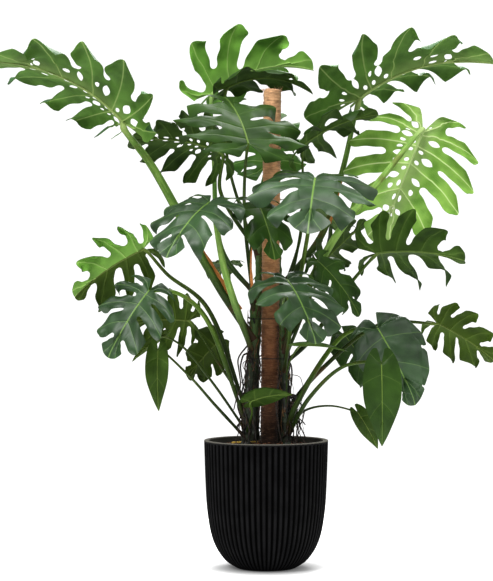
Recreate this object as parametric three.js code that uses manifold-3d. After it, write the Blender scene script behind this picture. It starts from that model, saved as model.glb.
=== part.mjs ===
// Potted Swiss cheese plant on a coir pole. Millimetres, +Z up.
// The origin is the middle of the pot's foot, on the floor. -Y is the side that faces the room.
import * as THREE from 'three';
import { mergeVertices } from 'three/addons/utils/BufferGeometryUtils.js';
import Module from 'manifold-3d';

const wasm = await Module();
wasm.setup();

// Driving dimensions
const CLEARANCE = 0.3;
const POT = {
  height: 360,
  wall: 19,
  floor: 22,
  ribs: 66,
  ribDepth: 4,
  lip: 6,
  cavitySides: 32,
};
// Radius of the pot's outside over its rib crests, at each height
const POT_PROFILE = [[82, 0], [114, 21], [138, 53], [154, 92], [166, 160], [171, 240]];
const RIM_RADIUS = 175;
const SOIL = { top: 338, mound: 13 };
const POLE = {
  radius: 25,
  bottom: 149,
  top: 1349,
  x: 7,
  lean: 0.5,
  coreRadius: 11,
  coreFoot: 18,
  sides: 24,
};
const STEM_SIDES = 8;
const PETIOLE_SIDES = 5;
const ROOT_SIDES = 4;
const ROOT_STEPS = 5;
const BLADE_THICKNESS = 1.4;

// Climbing stems: points of the middle line from the soil up, and the radius at both ends
const STEM_FOOT = 285;
const STEMS = {
  stem_left: { line: [[-64, -38], [-52, -36, 430], [-40, -26, 600], [-34, -18, 780]], radius: [14, 9] },
  stem_right: { line: [[62, -34], [56, -28, 430], [50, -20, 580], [46, -14, 720]], radius: [13, 9] },
  stem_rear_left: { line: [[-34, 52], [-30, 48, 480], [-24, 38, 700], [-18, 34, 930]], radius: [13, 9] },
  stem_rear_right: { line: [[42, 48], [40, 44, 480], [36, 38, 680], [34, 34, 880]], radius: [13, 9] },
};

// Aerial roots: where they leave a stem and the points they pass
const ROOTS = [
  { stem: 'stem_left', start: 640, path: [[-78, -50, 590], [-72, -58, 520], [-92, -62, 450]], thick: 2.6 },
  { stem: 'stem_left', start: 520, path: [[-48, -66, 470], [-36, -72, 410], [-26, -80, 356]], thick: 3 },
  { stem: 'stem_right', start: 500, path: [[92, -40, 470], [106, -48, 440], [92, -58, 400]], thick: 2.6 },
  { stem: 'stem_right', start: 560, path: [[34, -52, 520], [28, -56, 450], [42, -62, 360]], thick: 2.8 },
  { stem: 'stem_rear_left', start: 560, path: [[-44, 74, 500], [-34, 84, 430], [-44, 88, 356]], thick: 2.8 },
  { stem: 'stem_rear_right', start: 560, path: [[52, 66, 510], [46, 78, 450], [58, 84, 360]], thick: 2.6 },
];

const TIE = { heights: [592, 704], radius: 1.4, steps: 16 };
const SHEATH = { thickness: 1.2, steps: 5 };
// Dried sheaths: the stretch of petiole that each lies along, on which side, its width at the foot,
// and how far it presses in towards the flats between the petiole's edges
const SHEATHS = [
  { leaf: 'leaf_01', from: 0.09, to: 0.29, beside: [0.7, -0.7, 0.4], wide: 25, snug: 2.3 },
  { leaf: 'leaf_03', from: 0.3, to: 0.48, beside: [0.6, -0.8, 0], wide: 11, snug: 0.3 },
  { leaf: 'leaf_10', from: 0.14, to: 0.48, beside: [0.3, -1, 0], wide: 10, snug: 0.7 },
];
const FALLEN_STALK = {
  line: [[-96, 8, 350.7], [-70, 4, 352.7], [-45, -3, 353.7], [-24, -12, 354.7]],
  radius: 3.4,
};

// How each kind of blade is cut. cut is the depth of the open splits, as a share of the half width,
// and gap makes them wider than usual
const FRETTED = { lobes: 5, cut: 0.6, holes: true, wide: 0.84 };
const SPLIT = { lobes: 4, cut: 0.72, holes: false, wide: 0.86 };
const FANNED = { lobes: 4, cut: 0.78, holes: false, wide: 0.86, gap: 1.7 };
const SMALL = { lobes: 3, cut: 0.65, holes: false, wide: 0.84 };
const YOUNG = { lobes: 3, cut: 0.45, holes: false, wide: 0.78 };
const ENTIRE = { lobes: 3, cut: 0, holes: false, wide: 0.72 };

// Leaves. joint is where the petiole meets the blade, via are points that the petiole passes.
// aim is the midrib's direction there: 0 is +X and 90 is away from the room's side, then its rise.
// roll turns the blade about its midrib, droop bends the midrib down, arch bends the two halves down,
// all in degrees. start is the height at which the petiole leaves its stem. splits says how much of the
// kind's cuts each half has, and stout how much thicker than usual the lower petiole is.
const LEAVES = [
  { name: 'leaf_01', kind: FRETTED, length: 430, stem: 'stem_left', start: 640,
    via: [[-170, -80, 860], [-320, -115, 1130]], joint: [-390, -110, 1240],
    aim: [180, 50], roll: 26, droop: 58, arch: 14, sag: 0.04, base: [1, 0.6], wide: 0.95, stout: 1.9,
    seed: 11, green: 'mid' },
  { name: 'leaf_02', kind: FANNED, length: 325, stem: 'stem_rear_left', start: 760,
    via: [[-125, 90, 895], [-150, 145, 1160]], joint: [-160, 150, 1350],
    aim: [25, 42], roll: -48, droop: 75, arch: 8, fold: 35, wide: 1.0, stout: 1.4,
    seed: 18, green: 'bright' },
  { name: 'leaf_03', kind: FRETTED, length: 415, stem: 'stem_rear_right', start: 780,
    via: [[160, 90, 940], [220, 95, 1125]], joint: [260, 80, 1325],
    aim: [0, 40], roll: -22, droop: 55, arch: 16, fold: 22, wide: 0.95, base: [0.75, 1.35], stout: 1.4,
    seed: 25, green: 'mid' },
  { name: 'leaf_04', kind: FRETTED, length: 340, stem: 'stem_right', start: 635,
    via: [[180, -50, 910], [335, -30, 1110]], joint: [445, 30, 1230],
    aim: [165, -68], roll: 84, droop: 12, arch: 18, wide: 1.05, stout: 1.9, seed: 32, green: 'lime' },
  { name: 'leaf_05', kind: FRETTED, length: 285, stem: 'stem_rear_left', start: 880,
    via: [[-130, 40, 1065]], joint: [-125, 15, 1170],
    aim: [180, 24], roll: 48, droop: 55, arch: 20, stout: 1.2, seed: 39, green: 'deep' },
  { name: 'leaf_06', kind: SPLIT, length: 300, stem: 'stem_left', start: 740,
    via: [[-60, -90, 975], [-60, -190, 1095]], joint: [-50, -275, 1175],
    aim: [104, 44], roll: 5, droop: 28, arch: 25, wide: 1.2, seed: 46, green: 'deep' },
  { name: 'leaf_07', kind: FANNED, length: 240, stem: 'stem_right', start: 700,
    via: [[100, -60, 980]], joint: [100, -60, 1185],
    aim: [22, 38], roll: -30, droop: 35, arch: 25, wide: 1.0, seed: 53, green: 'deep' },
  { name: 'leaf_08', kind: SPLIT, length: 290, stem: 'stem_right', start: 606,
    via: [[100, -175, 865]], joint: [130, -235, 1085],
    aim: [-95, -18], roll: -5, droop: 30, arch: 25, wide: 1.15, stout: 1.3, seed: 60, green: 'glossy' },
  { name: 'leaf_09', kind: SPLIT, length: 250, stem: 'stem_left', start: 606,
    via: [[-115, -170, 835]], joint: [-155, -240, 1020],
    aim: [-122, -22], roll: -5, droop: 32, arch: 25, wide: 1.0, stout: 2.4, seed: 67, green: 'glossy' },
  { name: 'leaf_10', kind: SMALL, length: 205, stem: 'stem_left', start: 715,
    via: [[-45, -130, 865]], joint: [-25, -190, 1020],
    aim: [-70, -35], roll: 0, droop: 30, arch: 30, stout: 1.3, seed: 74, green: 'deep' },
  { name: 'leaf_11', kind: FANNED, length: 235, stem: 'stem_left', start: 430,
    via: [[-170, -60, 740], [-275, -60, 825]], joint: [-345, -60, 895],
    aim: [180, -25], roll: 55, droop: 35, arch: 20, wide: 1.0, stout: 1.6, seed: 81, green: 'olive' },
  { name: 'leaf_12', kind: SPLIT, length: 215, stem: 'stem_left', start: 400,
    via: [[-175, -100, 715], [-250, -130, 775]], joint: [-325, -130, 780],
    aim: [-150, -48], roll: -38, droop: 30, arch: 25, wide: 1.0, stout: 1.9, seed: 88, green: 'glossy' },
  { name: 'leaf_13', kind: SPLIT, length: 165, stem: 'stem_rear_left', start: 420,
    via: [[-115, 40, 545]], joint: [-220, 45, 695],
    aim: [190, 5], roll: 68, droop: 25, arch: 20, wide: 1.15, stout: 1.6, seed: 95, green: 'olive' },
  { name: 'leaf_14', kind: ENTIRE, length: 170, stem: 'stem_left', start: 366,
    via: [[-145, -75, 465], [-210, -95, 540]], joint: [-300, -110, 615],
    aim: [-110, -82], roll: 0, droop: 20, arch: 25, wide: 0.42, stout: 1.5, seed: 102, green: 'olive' },
  { name: 'leaf_15', kind: YOUNG, length: 150, stem: 'stem_rear_left', start: 400,
    via: [[-95, 90, 540]], joint: [-135, 110, 635],
    aim: [205, -40], roll: 70, droop: 20, arch: 20, wide: 1.15, stout: 1.6, seed: 109, green: 'olive' },
  { name: 'leaf_16', kind: ENTIRE, length: 125, stem: 'stem_left', start: 372,
    via: [[-40, -90, 445]], joint: [-45, -110, 475],
    aim: [-10, 22], roll: -35, droop: 30, arch: 25, seed: 116, green: 'mid' },
  { name: 'leaf_17', kind: SPLIT, length: 240, stem: 'stem_right', start: 550,
    via: [[65, -160, 700]], joint: [55, -225, 810],
    aim: [-65, -30], roll: 0, droop: 30, arch: 25, wide: 1.05, stout: 1.4, seed: 123, green: 'glossy' },
  { name: 'leaf_18', kind: SMALL, length: 190, stem: 'stem_right', start: 580,
    via: [[115, -80, 755]], joint: [145, -105, 860],
    aim: [-5, -42], roll: 40, droop: 30, arch: 25, wide: 0.8, stout: 1.5, seed: 130, green: 'deep' },
  { name: 'leaf_19', kind: FANNED, length: 255, stem: 'stem_rear_right', start: 560,
    via: [[125, 20, 640], [220, -20, 780]], joint: [305, -60, 885],
    aim: [0, 8], roll: -52, droop: 42, arch: 12, fold: 32, wide: 1.0, stout: 1.5,
    seed: 137, green: 'deep' },
  { name: 'leaf_20', kind: SPLIT, length: 195, stem: 'stem_rear_right', start: 420,
    via: [[155, 30, 555], [325, 40, 685]], joint: [485, 40, 690],
    aim: [0, -26], roll: -52, droop: 25, arch: 15, fold: 20, wide: 0.95, stout: 2.0,
    seed: 144, green: 'olive' },
  { name: 'leaf_21', kind: YOUNG, length: 235, stem: 'stem_right', start: 385,
    via: [[85, -60, 465], [220, -70, 660]], joint: [310, -75, 675],
    aim: [-30, -55], roll: 38, droop: 25, arch: 20, wide: 0.95, splits: [0.5, 1], stout: 2.0,
    seed: 151, green: 'glossy' },
  { name: 'leaf_22', kind: ENTIRE, length: 225, stem: 'stem_right', start: 368,
    via: [[120, -95, 485], [215, -160, 575]], joint: [310, -220, 580],
    aim: [-75, -84], roll: 10, droop: 20, arch: 25, wide: 0.48, stout: 1.6, seed: 158, green: 'mid' },
  { name: 'leaf_23', kind: ENTIRE, length: 120, stem: 'stem_right', start: 400,
    via: [[115, 0, 445], [185, 10, 455]], joint: [260, 20, 435],
    aim: [-10, -55], roll: 55, droop: 25, arch: 25, wide: 0.5, stout: 1.2, seed: 165, green: 'olive' },
  { name: 'leaf_24', kind: SMALL, length: 190, stem: 'stem_rear_right', start: 380,
    via: [[125, 110, 525]], joint: [230, 140, 650],
    aim: [-20, -50], roll: 30, droop: 25, arch: 25, stout: 1.8, seed: 172, green: 'deep' },
  { name: 'leaf_25', kind: ENTIRE, length: 138, stem: 'stem_right', start: 400,
    via: [[60, -60, 565]], joint: [90, -125, 630],
    aim: [-8, 3], roll: -10, droop: 20, arch: 15, wide: 0.5, seed: 179, green: 'deep' },
  { name: 'leaf_26', kind: SPLIT, length: 260, stem: 'stem_rear_left', start: 900,
    via: [[-30, 90, 995]], joint: [0, 110, 1140],
    aim: [80, 58], roll: 0, droop: 35, arch: 25, seed: 186, green: 'bright' },
  { name: 'leaf_27', kind: YOUNG, length: 140, stem: 'stem_rear_left', start: 620,
    via: [[-95, 90, 755]], joint: [-105, 140, 865],
    aim: [110, -10], roll: 0, droop: 25, arch: 25, seed: 193, green: 'deep' },
  { name: 'leaf_28', kind: FANNED, length: 175, stem: 'stem_rear_right', start: 600,
    via: [[110, 60, 725]], joint: [160, 30, 860],
    aim: [20, 45], roll: -45, droop: 10, arch: 15, wide: 1.25, stout: 1.5, seed: 200, green: 'deep' },
  { name: 'leaf_29', kind: SMALL, length: 265, stem: 'stem_rear_left', start: 860,
    via: [[-110, 170, 1160]], joint: [-115, 80, 1360],
    aim: [0, 30], roll: -12, droop: 70, arch: 20, wide: 0.8, seed: 207, green: 'mid' },
  { name: 'leaf_30', kind: SMALL, length: 260, stem: 'stem_rear_right', start: 740,
    via: [[100, 160, 930]], joint: [115, 240, 1045],
    aim: [60, 0], roll: 0, droop: 40, arch: 25, wide: 0.86, seed: 214, green: 'deep' },
  { name: 'leaf_31', kind: SMALL, length: 220, stem: 'stem_rear_right', start: 520,
    via: [[25, 150, 665]], joint: [45, 240, 780],
    aim: [85, -10], roll: 0, droop: 40, arch: 25, wide: 0.86, seed: 221, green: 'deep' },
  { name: 'leaf_32', kind: ENTIRE, length: 115, stem: 'stem_left', start: 385,
    via: [[-155, -50, 530], [-240, -60, 630]], joint: [-290, -60, 655],
    aim: [190, -32], roll: 40, droop: 20, arch: 20, wide: 0.4, stout: 1.3, seed: 228, green: 'olive' },
];

const TONES = {
  bright: '#4f8a2c',
  lime: '#7fa63a',
  mid: '#3f6a2a',
  deep: '#1f3d24',
  olive: '#3a4a26',
  glossy: '#2a4a3a',
};

const vector = (x, y, z) => new THREE.Vector3(x, y, z);
const radians = THREE.MathUtils.degToRad;

// A repeatable stream of numbers from 0 to 1
function seededStream(seed) {
  let state = seed >>> 0;
  return () => {
    state = (Math.imul(state, 1664525) + 1013904223) >>> 0;
    return state / 2 ** 32;
  };
}

// Closed geometry to solid and back
function solidOf(geometry) {
  const bare = new THREE.BufferGeometry();
  bare.setAttribute('position', geometry.getAttribute('position').clone());
  if (geometry.index) bare.setIndex(geometry.index.clone());
  const joined = mergeVertices(bare, 1e-4);
  const corners = joined.index.array;
  const kept = [];
  for (let i = 0; i < corners.length; i += 3) {
    const [a, b, c] = corners.slice(i, i + 3);
    if (a !== b && b !== c && c !== a) kept.push(a, b, c);
  }
  return new wasm.Manifold(new wasm.Mesh({
    numProp: 3,
    vertProperties: new Float32Array(joined.getAttribute('position').array),
    triVerts: new Uint32Array(kept),
  }));
}

function geometryOf(solid) {
  const mesh = solid.getMesh();
  const geometry = new THREE.BufferGeometry();
  geometry.setAttribute('position', new THREE.BufferAttribute(new Float32Array(mesh.vertProperties), 3));
  geometry.setIndex(new THREE.BufferAttribute(new Uint32Array(mesh.triVerts), 1));
  geometry.computeVertexNormals();
  return geometry;
}

function solidFrom(points, triangles) {
  const geometry = new THREE.BufferGeometry();
  geometry.setFromPoints(points);
  geometry.setIndex(triangles);
  return solidOf(geometry);
}

// A turned body, from a profile of [radius, height] that starts and ends on the axis
function turned(profile, sides) {
  const corners = profile.map(([r, z]) => new THREE.Vector2(r, z));
  return new THREE.LatheGeometry(corners, sides).rotateX(Math.PI / 2);
}

const smooth = (points) => new THREE.CatmullRomCurve3(points);
const evenly = (steps) => Array.from({ length: steps + 1 }, (_, i) => i / steps);

// A round rod along a line, with its own radius at every stop and domed ends
function rod(line, stops, radiusAt, sides) {
  const steps = stops.length - 1;
  const rings = [];
  let across = null;
  for (const share of stops) {
    const along = line.getTangent(share);
    if (!across) across = vector(along.z, along.x, along.y).cross(along).normalize();
    across = across.clone().addScaledVector(along, -across.dot(along)).normalize();
    const up = along.clone().cross(across);
    const centre = line.getPoint(share);
    const ring = [];
    for (let k = 0; k < sides; k += 1) {
      const turn = (2 * Math.PI * k) / sides;
      const radius = radiusAt(share);
      ring.push(centre.clone().addScaledVector(across, radius * Math.cos(turn))
        .addScaledVector(up, radius * Math.sin(turn)));
    }
    rings.push(ring);
  }
  const reach = (share, sign) => line.getPoint(share)
    .addScaledVector(line.getTangent(share), sign * radiusAt(share) * 0.5);
  const spots = [...rings.flat(), reach(0, -1), reach(1, 1)];
  const first = spots.length - 2;
  const last = spots.length - 1;
  const triangles = [];
  for (let k = 0; k < sides; k += 1) {
    const next = (k + 1) % sides;
    for (let i = 0; i < steps; i += 1) {
      const [a, b] = [i * sides + k, i * sides + next];
      triangles.push(a, b, a + sides, b, b + sides, a + sides);
    }
    triangles.push(first, next, k);
    triangles.push(last, steps * sides + k, steps * sides + next);
  }
  return solidFrom(spots, triangles);
}

// Pot: ribbed outside, smooth rim, plain inside
function ribbedOutside() {
  const crest = POT.ribs * 2;
  const profile = [[0, 0], ...POT_PROFILE, [RIM_RADIUS, POT.height - POT.lip],
    [RIM_RADIUS, POT.height], [0, POT.height]];
  const geometry = turned(profile, crest);
  const place = geometry.getAttribute('position');
  for (let i = 0; i < place.count; i += 1) {
    const [x, y, z] = [place.getX(i), place.getY(i), place.getZ(i)];
    const radius = Math.hypot(x, y);
    const turn = Math.atan2(y, x);
    const groove = Math.round((turn / (2 * Math.PI)) * crest) % 2 !== 0;
    const ribbed = z > 1 && z < POT.height - POT.lip + 1 && radius > 1;
    if (groove && ribbed) {
      const grooved = (radius - POT.ribDepth) / radius;
      place.setXY(i, x * grooved, y * grooved);
    }
  }
  return solidOf(geometry);
}

function potInside(clearance) {
  const wall = POT.wall + clearance;
  const inner = POT_PROFILE.slice(2).map(([r, z]) => [r - wall, z]);
  return [[0, POT.floor + clearance], [inner[0][0] - 24, POT.floor + clearance], ...inner,
    [RIM_RADIUS - wall, POT.height + 20], [0, POT.height + 20]];
}

function makePot() {
  return ribbedOutside().subtract(solidOf(turned(potInside(0), POT.cavitySides)));
}

// Soil: fills the pot to a little below the rim, with a low mound round the pole
function makeSoil() {
  const inside = potInside(CLEARANCE);
  const [low, high] = inside.slice(-3, -1);
  const share = (SOIL.top - low[1]) / (high[1] - low[1]);
  const edge = low[0] + (high[0] - low[0]) * share;
  const profile = [...inside.slice(0, -2), [edge, SOIL.top], [edge * 0.62, SOIL.top + SOIL.mound * 0.7],
    [0, SOIL.top + SOIL.mound]];
  let soil = solidOf(turned(profile, POT.cavitySides));
  for (const stem of Object.values(STEMS)) soil = soil.subtract(stemRod(stem, CLEARANCE));
  return soil.subtract(poleSolid(coirProfile(CLEARANCE))).subtract(poleSolid(coreProfile(CLEARANCE), 16));
}

// Pole: a coir sleeve on a stiff core, leaning a little to the right
function onPole(geometry) {
  return geometry.rotateY(radians(POLE.lean)).translate(POLE.x, 0, POLE.bottom);
}

function coirProfile(grow) {
  const length = POLE.top - POLE.bottom;
  const radius = POLE.radius + grow;
  return [[0, -grow], [radius, -grow], [radius, length - 9], [radius - 4, length - 3],
    [radius - 11, length], [0, length + 1]];
}

function coreProfile(grow) {
  const radius = POLE.coreRadius + grow;
  return [[0, -POLE.coreFoot - grow], [radius, -POLE.coreFoot - grow],
    [radius, POLE.top - POLE.bottom - 20 + grow], [0, POLE.top - POLE.bottom - 20 + grow]];
}

function poleSolid(profile, sides = POLE.sides) {
  return solidOf(onPole(turned(profile, sides)));
}

// Stems: rods with a raised ring at one step in three, where an old leaf sat
const STEM_STEPS = 12;
const RING_HEIGHT = 1.6;

const stemLine = (stem) => smooth(stem.line.map(([x, y, z], i) => vector(x, y, i === 0 ? STEM_FOOT : z)));

function stemRadius(stem, share) {
  const [thick, thin] = stem.radius;
  return thick + (thin - thick) * share;
}

function stemRod(stem, grow) {
  const radiusAt = (share) => {
    const ring = Math.round(share * STEM_STEPS) % 3 === 1 ? RING_HEIGHT : 0;
    return stemRadius(stem, share) + ring + grow;
  };
  return rod(stemLine(stem), evenly(STEM_STEPS), radiusAt, STEM_SIDES);
}

// The point of a stem's middle line at a height, and the radius over its rings there
function stemAt(stem, height) {
  const line = stemLine(stem);
  let share = 0;
  while (share < 1 && line.getPoint(share).z < height) share += 0.005;
  return { spot: line.getPoint(Math.min(share, 1)), radius: stemRadius(stem, share) + RING_HEIGHT };
}

// A stem with the aerial roots that hang from it
function stemWithRoots(name) {
  let solid = stemRod(STEMS[name], 0);
  for (const root of ROOTS.filter((each) => each.stem === name)) {
    const from = stemAt(STEMS[name], root.start).spot;
    const line = smooth([from, ...root.path.map((p) => vector(...p))]);
    solid = solid.add(rod(line, evenly(ROOT_STEPS), (share) => root.thick * (1 - 0.4 * share), ROOT_SIDES));
  }
  return solid;
}

// A wire tie: a closed loop pulled round the pole and every stem that reaches its height
function makeTie(height) {
  const lean = Math.tan(radians(POLE.lean));
  const rounds = [{ spot: vector(POLE.x + (height - POLE.bottom) * lean, 0, height), radius: POLE.radius }];
  for (const stem of Object.values(STEMS)) {
    const top = stem.line[stem.line.length - 1][2];
    if (top > height) rounds.push(stemAt(stem, height));
  }
  const reach = TIE.radius + 2 * CLEARANCE;
  const rings = [];
  for (let i = 0; i < TIE.steps; i += 1) {
    const turn = (2 * Math.PI * i) / TIE.steps;
    const outward = vector(Math.cos(turn), Math.sin(turn), 0);
    const extent = ({ spot, radius }) => spot.dot(outward) + radius;
    const widest = rounds.reduce((a, b) => (extent(b) > extent(a) ? b : a));
    const centre = vector(widest.spot.x, widest.spot.y, height)
      .addScaledVector(outward, widest.radius + reach);
    rings.push([0, 1, 2, 3].map((k) => centre.clone()
      .addScaledVector(outward, TIE.radius * Math.cos((Math.PI * k) / 2))
      .add(vector(0, 0, TIE.radius * Math.sin((Math.PI * k) / 2)))));
  }
  const triangles = [];
  for (let i = 0; i < TIE.steps; i += 1) {
    for (let k = 0; k < 4; k += 1) {
      const [here, next] = [i * 4, ((i + 1) % TIE.steps) * 4];
      const up = (k + 1) % 4;
      triangles.push(here + k, next + k, next + up, here + k, next + up, here + up);
    }
  }
  return solidFrom(rings.flat(), triangles);
}

// Leaves: outline, splits and holes in the flat, in shares of the blade's length.
// along runs down the midrib from the joint, out runs from the midrib to the margin.
const HEART = { centre: 0.27, reach: 0.535, point: 0.195, pointWidth: 28, basePull: 0.25 };
const FIRST_SPLIT = 168;
const LAST_SPLIT = 20;
const SPLIT_BULGE = 0.07;
const RIB_SPACING = 0.05;
const UNCUT = { open: 0.6 };

function marginPoint(angle, baseSize) {
  const base = Math.max(0, (angle - 150) / 30);
  const small = 1 - (1 - baseSize) * Math.min(1, Math.max(0, (angle - 80) / 50));
  const reach = (HEART.reach + HEART.point * Math.exp(-((angle / HEART.pointWidth) ** 2)))
    * (1 - HEART.basePull * base ** 2) * small;
  return [HEART.centre + reach * Math.cos(radians(angle)), reach * Math.sin(radians(angle))];
}

// Where each side vein leaves the midrib, in pairs, and the angle at which it heads for the margin
function veinPairs(kind) {
  const pairs = [];
  for (let j = 0; j <= kind.lobes; j += 1) {
    const angle = FIRST_SPLIT - (FIRST_SPLIT - LAST_SPLIT) * (j / kind.lobes) ** 0.95;
    const [along, out] = marginPoint(angle, 1);
    const wanted = along - out / Math.tan(radians(35 + 0.45 * angle));
    const ribStart = j < 2 ? 0 : Math.max(wanted, pairs[j - 1].ribStart + RIB_SPACING);
    pairs.push({ angle, ribStart });
  }
  return pairs;
}

// Each split runs on a curve from the midrib to the margin. The first line is the heart's own edge
function splitLines(kind, baseSize, share, random) {
  return veinPairs(kind).map(({ angle, ribStart }, j) => {
    const wander = j === 0 || j === kind.lobes ? 0 : 5 * (random() - 0.5);
    const end = marginPoint(angle + wander, baseSize);
    const depth = kind.cut * share * (0.85 + 0.3 * random());
    const hole = kind.holes && j > 0 && random() < 0.8 ? 0.018 + 0.014 * random() : 0;
    const gap = (0.024 + 0.036 * random()) * (kind.gap ?? 1) * share;
    const start = [ribStart, 0];
    return j === 0 ? { ...UNCUT, start, end, edge: true } : { open: 1 - depth, start, end, hole, gap };
  });
}

const HOLE = [0.13, 0.23, 0.33];

function levelsOf(kind, line) {
  if (kind.cut === 0) return [0, 0.5, 1];
  const rest = [line.open, line.open + 0.45 * (1 - line.open), 1];
  return kind.holes ? [0, ...HOLE, ...rest] : [0, ...rest];
}

// The point at a share t along a split, moved to one side of it by the open gap or the hole there
function splitPoint(line, t, side) {
  const [ax, ay] = line.start;
  const [bx, by] = line.end;
  const chord = Math.hypot(bx - ax, by - ay);
  const [cx, cy] = [(ax + bx) / 2 - SPLIT_BULGE * chord, (ay + by) / 2];
  const spot = (a, c, b) => a * (1 - t) ** 2 + 2 * c * t * (1 - t) + b * t ** 2;
  const inHole = (t - HOLE[0]) / (HOLE[2] - HOLE[0]);
  let half = 0;
  if (!line.edge) {
    if (inHole > 0 && inHole < 1) half = line.hole * Math.sin(Math.PI * inHole);
    if (t > line.open) half = line.gap * ((t - line.open) / (1 - line.open)) ** 0.6;
  }
  const shift = (side * half) / chord;
  return [spot(ax, cx, bx) + shift * (by - ay), spot(ay, cy, by) - shift * (bx - ax)];
}

// A lobe ends in a blunt round tip: how far it reaches at u, from -1 at its near edge to 1 at its far edge
function lobeReach(open, u) {
  const short = 1 - open;
  return 1 + 0.1 * short * (1 - u * u) - short * (0.24 * ((1 - u) / 2) ** 3 + 0.06 * ((1 + u) / 2) ** 4);
}

// The blade's own frame: along the midrib, to its side, and off its upper face
function bladeFrame(leaf) {
  const [compass, rise] = leaf.aim.map(radians);
  const ahead = vector(Math.cos(compass), Math.sin(compass), 0);
  const up = vector(0, 0, 1);
  const along = ahead.clone().multiplyScalar(Math.cos(rise)).addScaledVector(up, Math.sin(rise));
  const level = up.clone().multiplyScalar(Math.cos(rise)).addScaledVector(ahead, -Math.sin(rise));
  const roll = radians(leaf.roll);
  const face = level.clone().multiplyScalar(Math.cos(roll))
    .addScaledVector(along.clone().cross(level), Math.sin(roll));
  return { along, side: face.clone().cross(along), face };
}

// From the flat blade to its place: the midrib droops, the halves arch, each lobe sags and twists
function bladePlace(leaf, frame, along, out, sign, lift, sag) {
  const bend = radians(leaf.droop);
  const curl = radians(leaf.arch) / 0.5;
  const fold = radians(leaf.fold ?? 12);
  const spread = out * (leaf.wide ?? leaf.kind.wide);
  const turn = fold - curl * spread;
  const off = (Math.sin(fold) - Math.sin(turn)) / curl;
  const up = (Math.cos(turn) - Math.cos(fold)) / curl;
  const ribUp = vector(Math.sin(bend * along), 0, Math.cos(bend * along));
  const local = vector(Math.sin(bend * along) / bend, sign * off, (Math.cos(bend * along) - 1) / bend)
    .addScaledVector(ribUp, up + lift * Math.cos(turn));
  local.y -= sign * lift * Math.sin(turn);
  return vector(...leaf.joint)
    .addScaledVector(frame.along, leaf.length * local.x)
    .addScaledVector(frame.side, leaf.length * local.y)
    .addScaledVector(frame.face, leaf.length * local.z)
    .add(vector(0, 0, -leaf.length * sag));
}

// The blade's upper face as points and triangles
function bladeFace(leaf) {
  const random = seededStream(leaf.seed);
  const frame = bladeFrame(leaf);
  const points = [];
  const triangles = [];
  const known = new Map();
  const spot = (along, out, sign, lift, sag) => {
    const key = [along, out * sign].map((n) => Math.round(n * 1e5)).join();
    if (!known.has(key)) {
      known.set(key, points.length);
      points.push(bladePlace(leaf, frame, along, out, sign, lift, sag));
    }
    return known.get(key);
  };
  const patch = (a, b, c, sign) => {
    if (a === b || b === c || c === a) return;
    if (sign > 0) triangles.push(a, b, c);
    else triangles.push(a, c, b);
  };
  for (const sign of [1, -1]) {
    const half = sign > 0 ? 0 : 1;
    const lines = splitLines(leaf.kind, (leaf.base ?? [1, 1])[half], (leaf.splits ?? [1, 1])[half], random);
    for (let j = 0; j <= leaf.kind.lobes; j += 1) {
      const near = lines[j];
      const far = lines[j + 1];
      const rise = 0.1 * (random() - 0.5);
      const twist = 0.16 * (random() - 0.5);
      const sag = (leaf.sag ?? 0.1) * (0.6 + 0.8 * random());
      const nearLevels = levelsOf(leaf.kind, near);
      const farLevels = levelsOf(leaf.kind, far ?? UNCUT);
      const open = Math.max(near.open, (far ?? UNCUT).open);
      const rib = (t) => [near.start[0] + (1.02 - near.start[0]) * t, 0];
      const at = (u, i) => {
        const reach = lobeReach(leaf.kind.cut === 0 ? 1 : open, u);
        const stretch = (t) => (t <= open ? t : open + ((t - open) * (reach - open)) / (1 - open));
        const [nearT, farT] = [stretch(nearLevels[i]), stretch(farLevels[i])];
        const a = splitPoint(near, nearT, 1);
        const b = far ? splitPoint(far, farT, -1) : rib(farLevels[i]);
        const share = (u + 1) / 2;
        const t = nearT + (farT - nearT) * share;
        const free = far ? Math.max(0, t - open) : 0;
        const mix = (p, q) => p + (q - p) * share;
        return spot(mix(a[0], b[0]), mix(a[1], b[1]), sign, free * (rise + twist * u), free * free * sag);
      };
      const last = nearLevels.length - 1;
      for (let i = 0; i < last; i += 1) {
        const [a, b, c, d] = [at(-1, i), at(-1, i + 1), at(1, i + 1), at(1, i)];
        if (i === last - 1) {
          const tip = at(0, last);
          patch(a, d, tip, sign);
          patch(a, tip, b, sign);
          patch(d, c, tip, sign);
        } else if (i % 2) {
          patch(a, d, c, sign);
          patch(a, c, b, sign);
        } else {
          patch(a, d, b, sign);
          patch(b, d, c, sign);
        }
      }
    }
  }
  return { points, triangles };
}

// Gives a face its thickness: the same triangles on both sides, and a wall along every edge
function thickened({ points, triangles }, thickness) {
  const normals = points.map(() => vector(0, 0, 0));
  const edges = new Map();
  for (let i = 0; i < triangles.length; i += 3) {
    const [a, b, c] = triangles.slice(i, i + 3);
    const normal = points[b].clone().sub(points[a]).cross(points[c].clone().sub(points[a]));
    for (const k of [a, b, c]) normals[k].add(normal);
    for (const [p, q] of [[a, b], [b, c], [c, a]]) edges.set(`${p} ${q}`, [p, q]);
  }
  const count = points.length;
  const lower = points.map((p, i) => p.clone().addScaledVector(normals[i].normalize(), -thickness));
  const all = [...triangles];
  for (let i = 0; i < triangles.length; i += 3) {
    all.push(triangles[i] + count, triangles[i + 2] + count, triangles[i + 1] + count);
  }
  for (const [p, q] of edges.values()) {
    if (!edges.has(`${q} ${p}`)) all.push(p, p + count, q + count, p, q + count, q);
  }
  return solidFrom([...points, ...lower], all);
}

const petioleSize = (leaf) => Math.max(3.2, leaf.length * 0.019);

function petioleRadius(leaf, share) {
  const swell = ((leaf.stout ?? 1) - 1) * Math.min(1, share / 0.15) * (1 - share ** 3);
  return petioleSize(leaf) * (1 - 0.5 * share) * (1 + swell);
}

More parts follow.
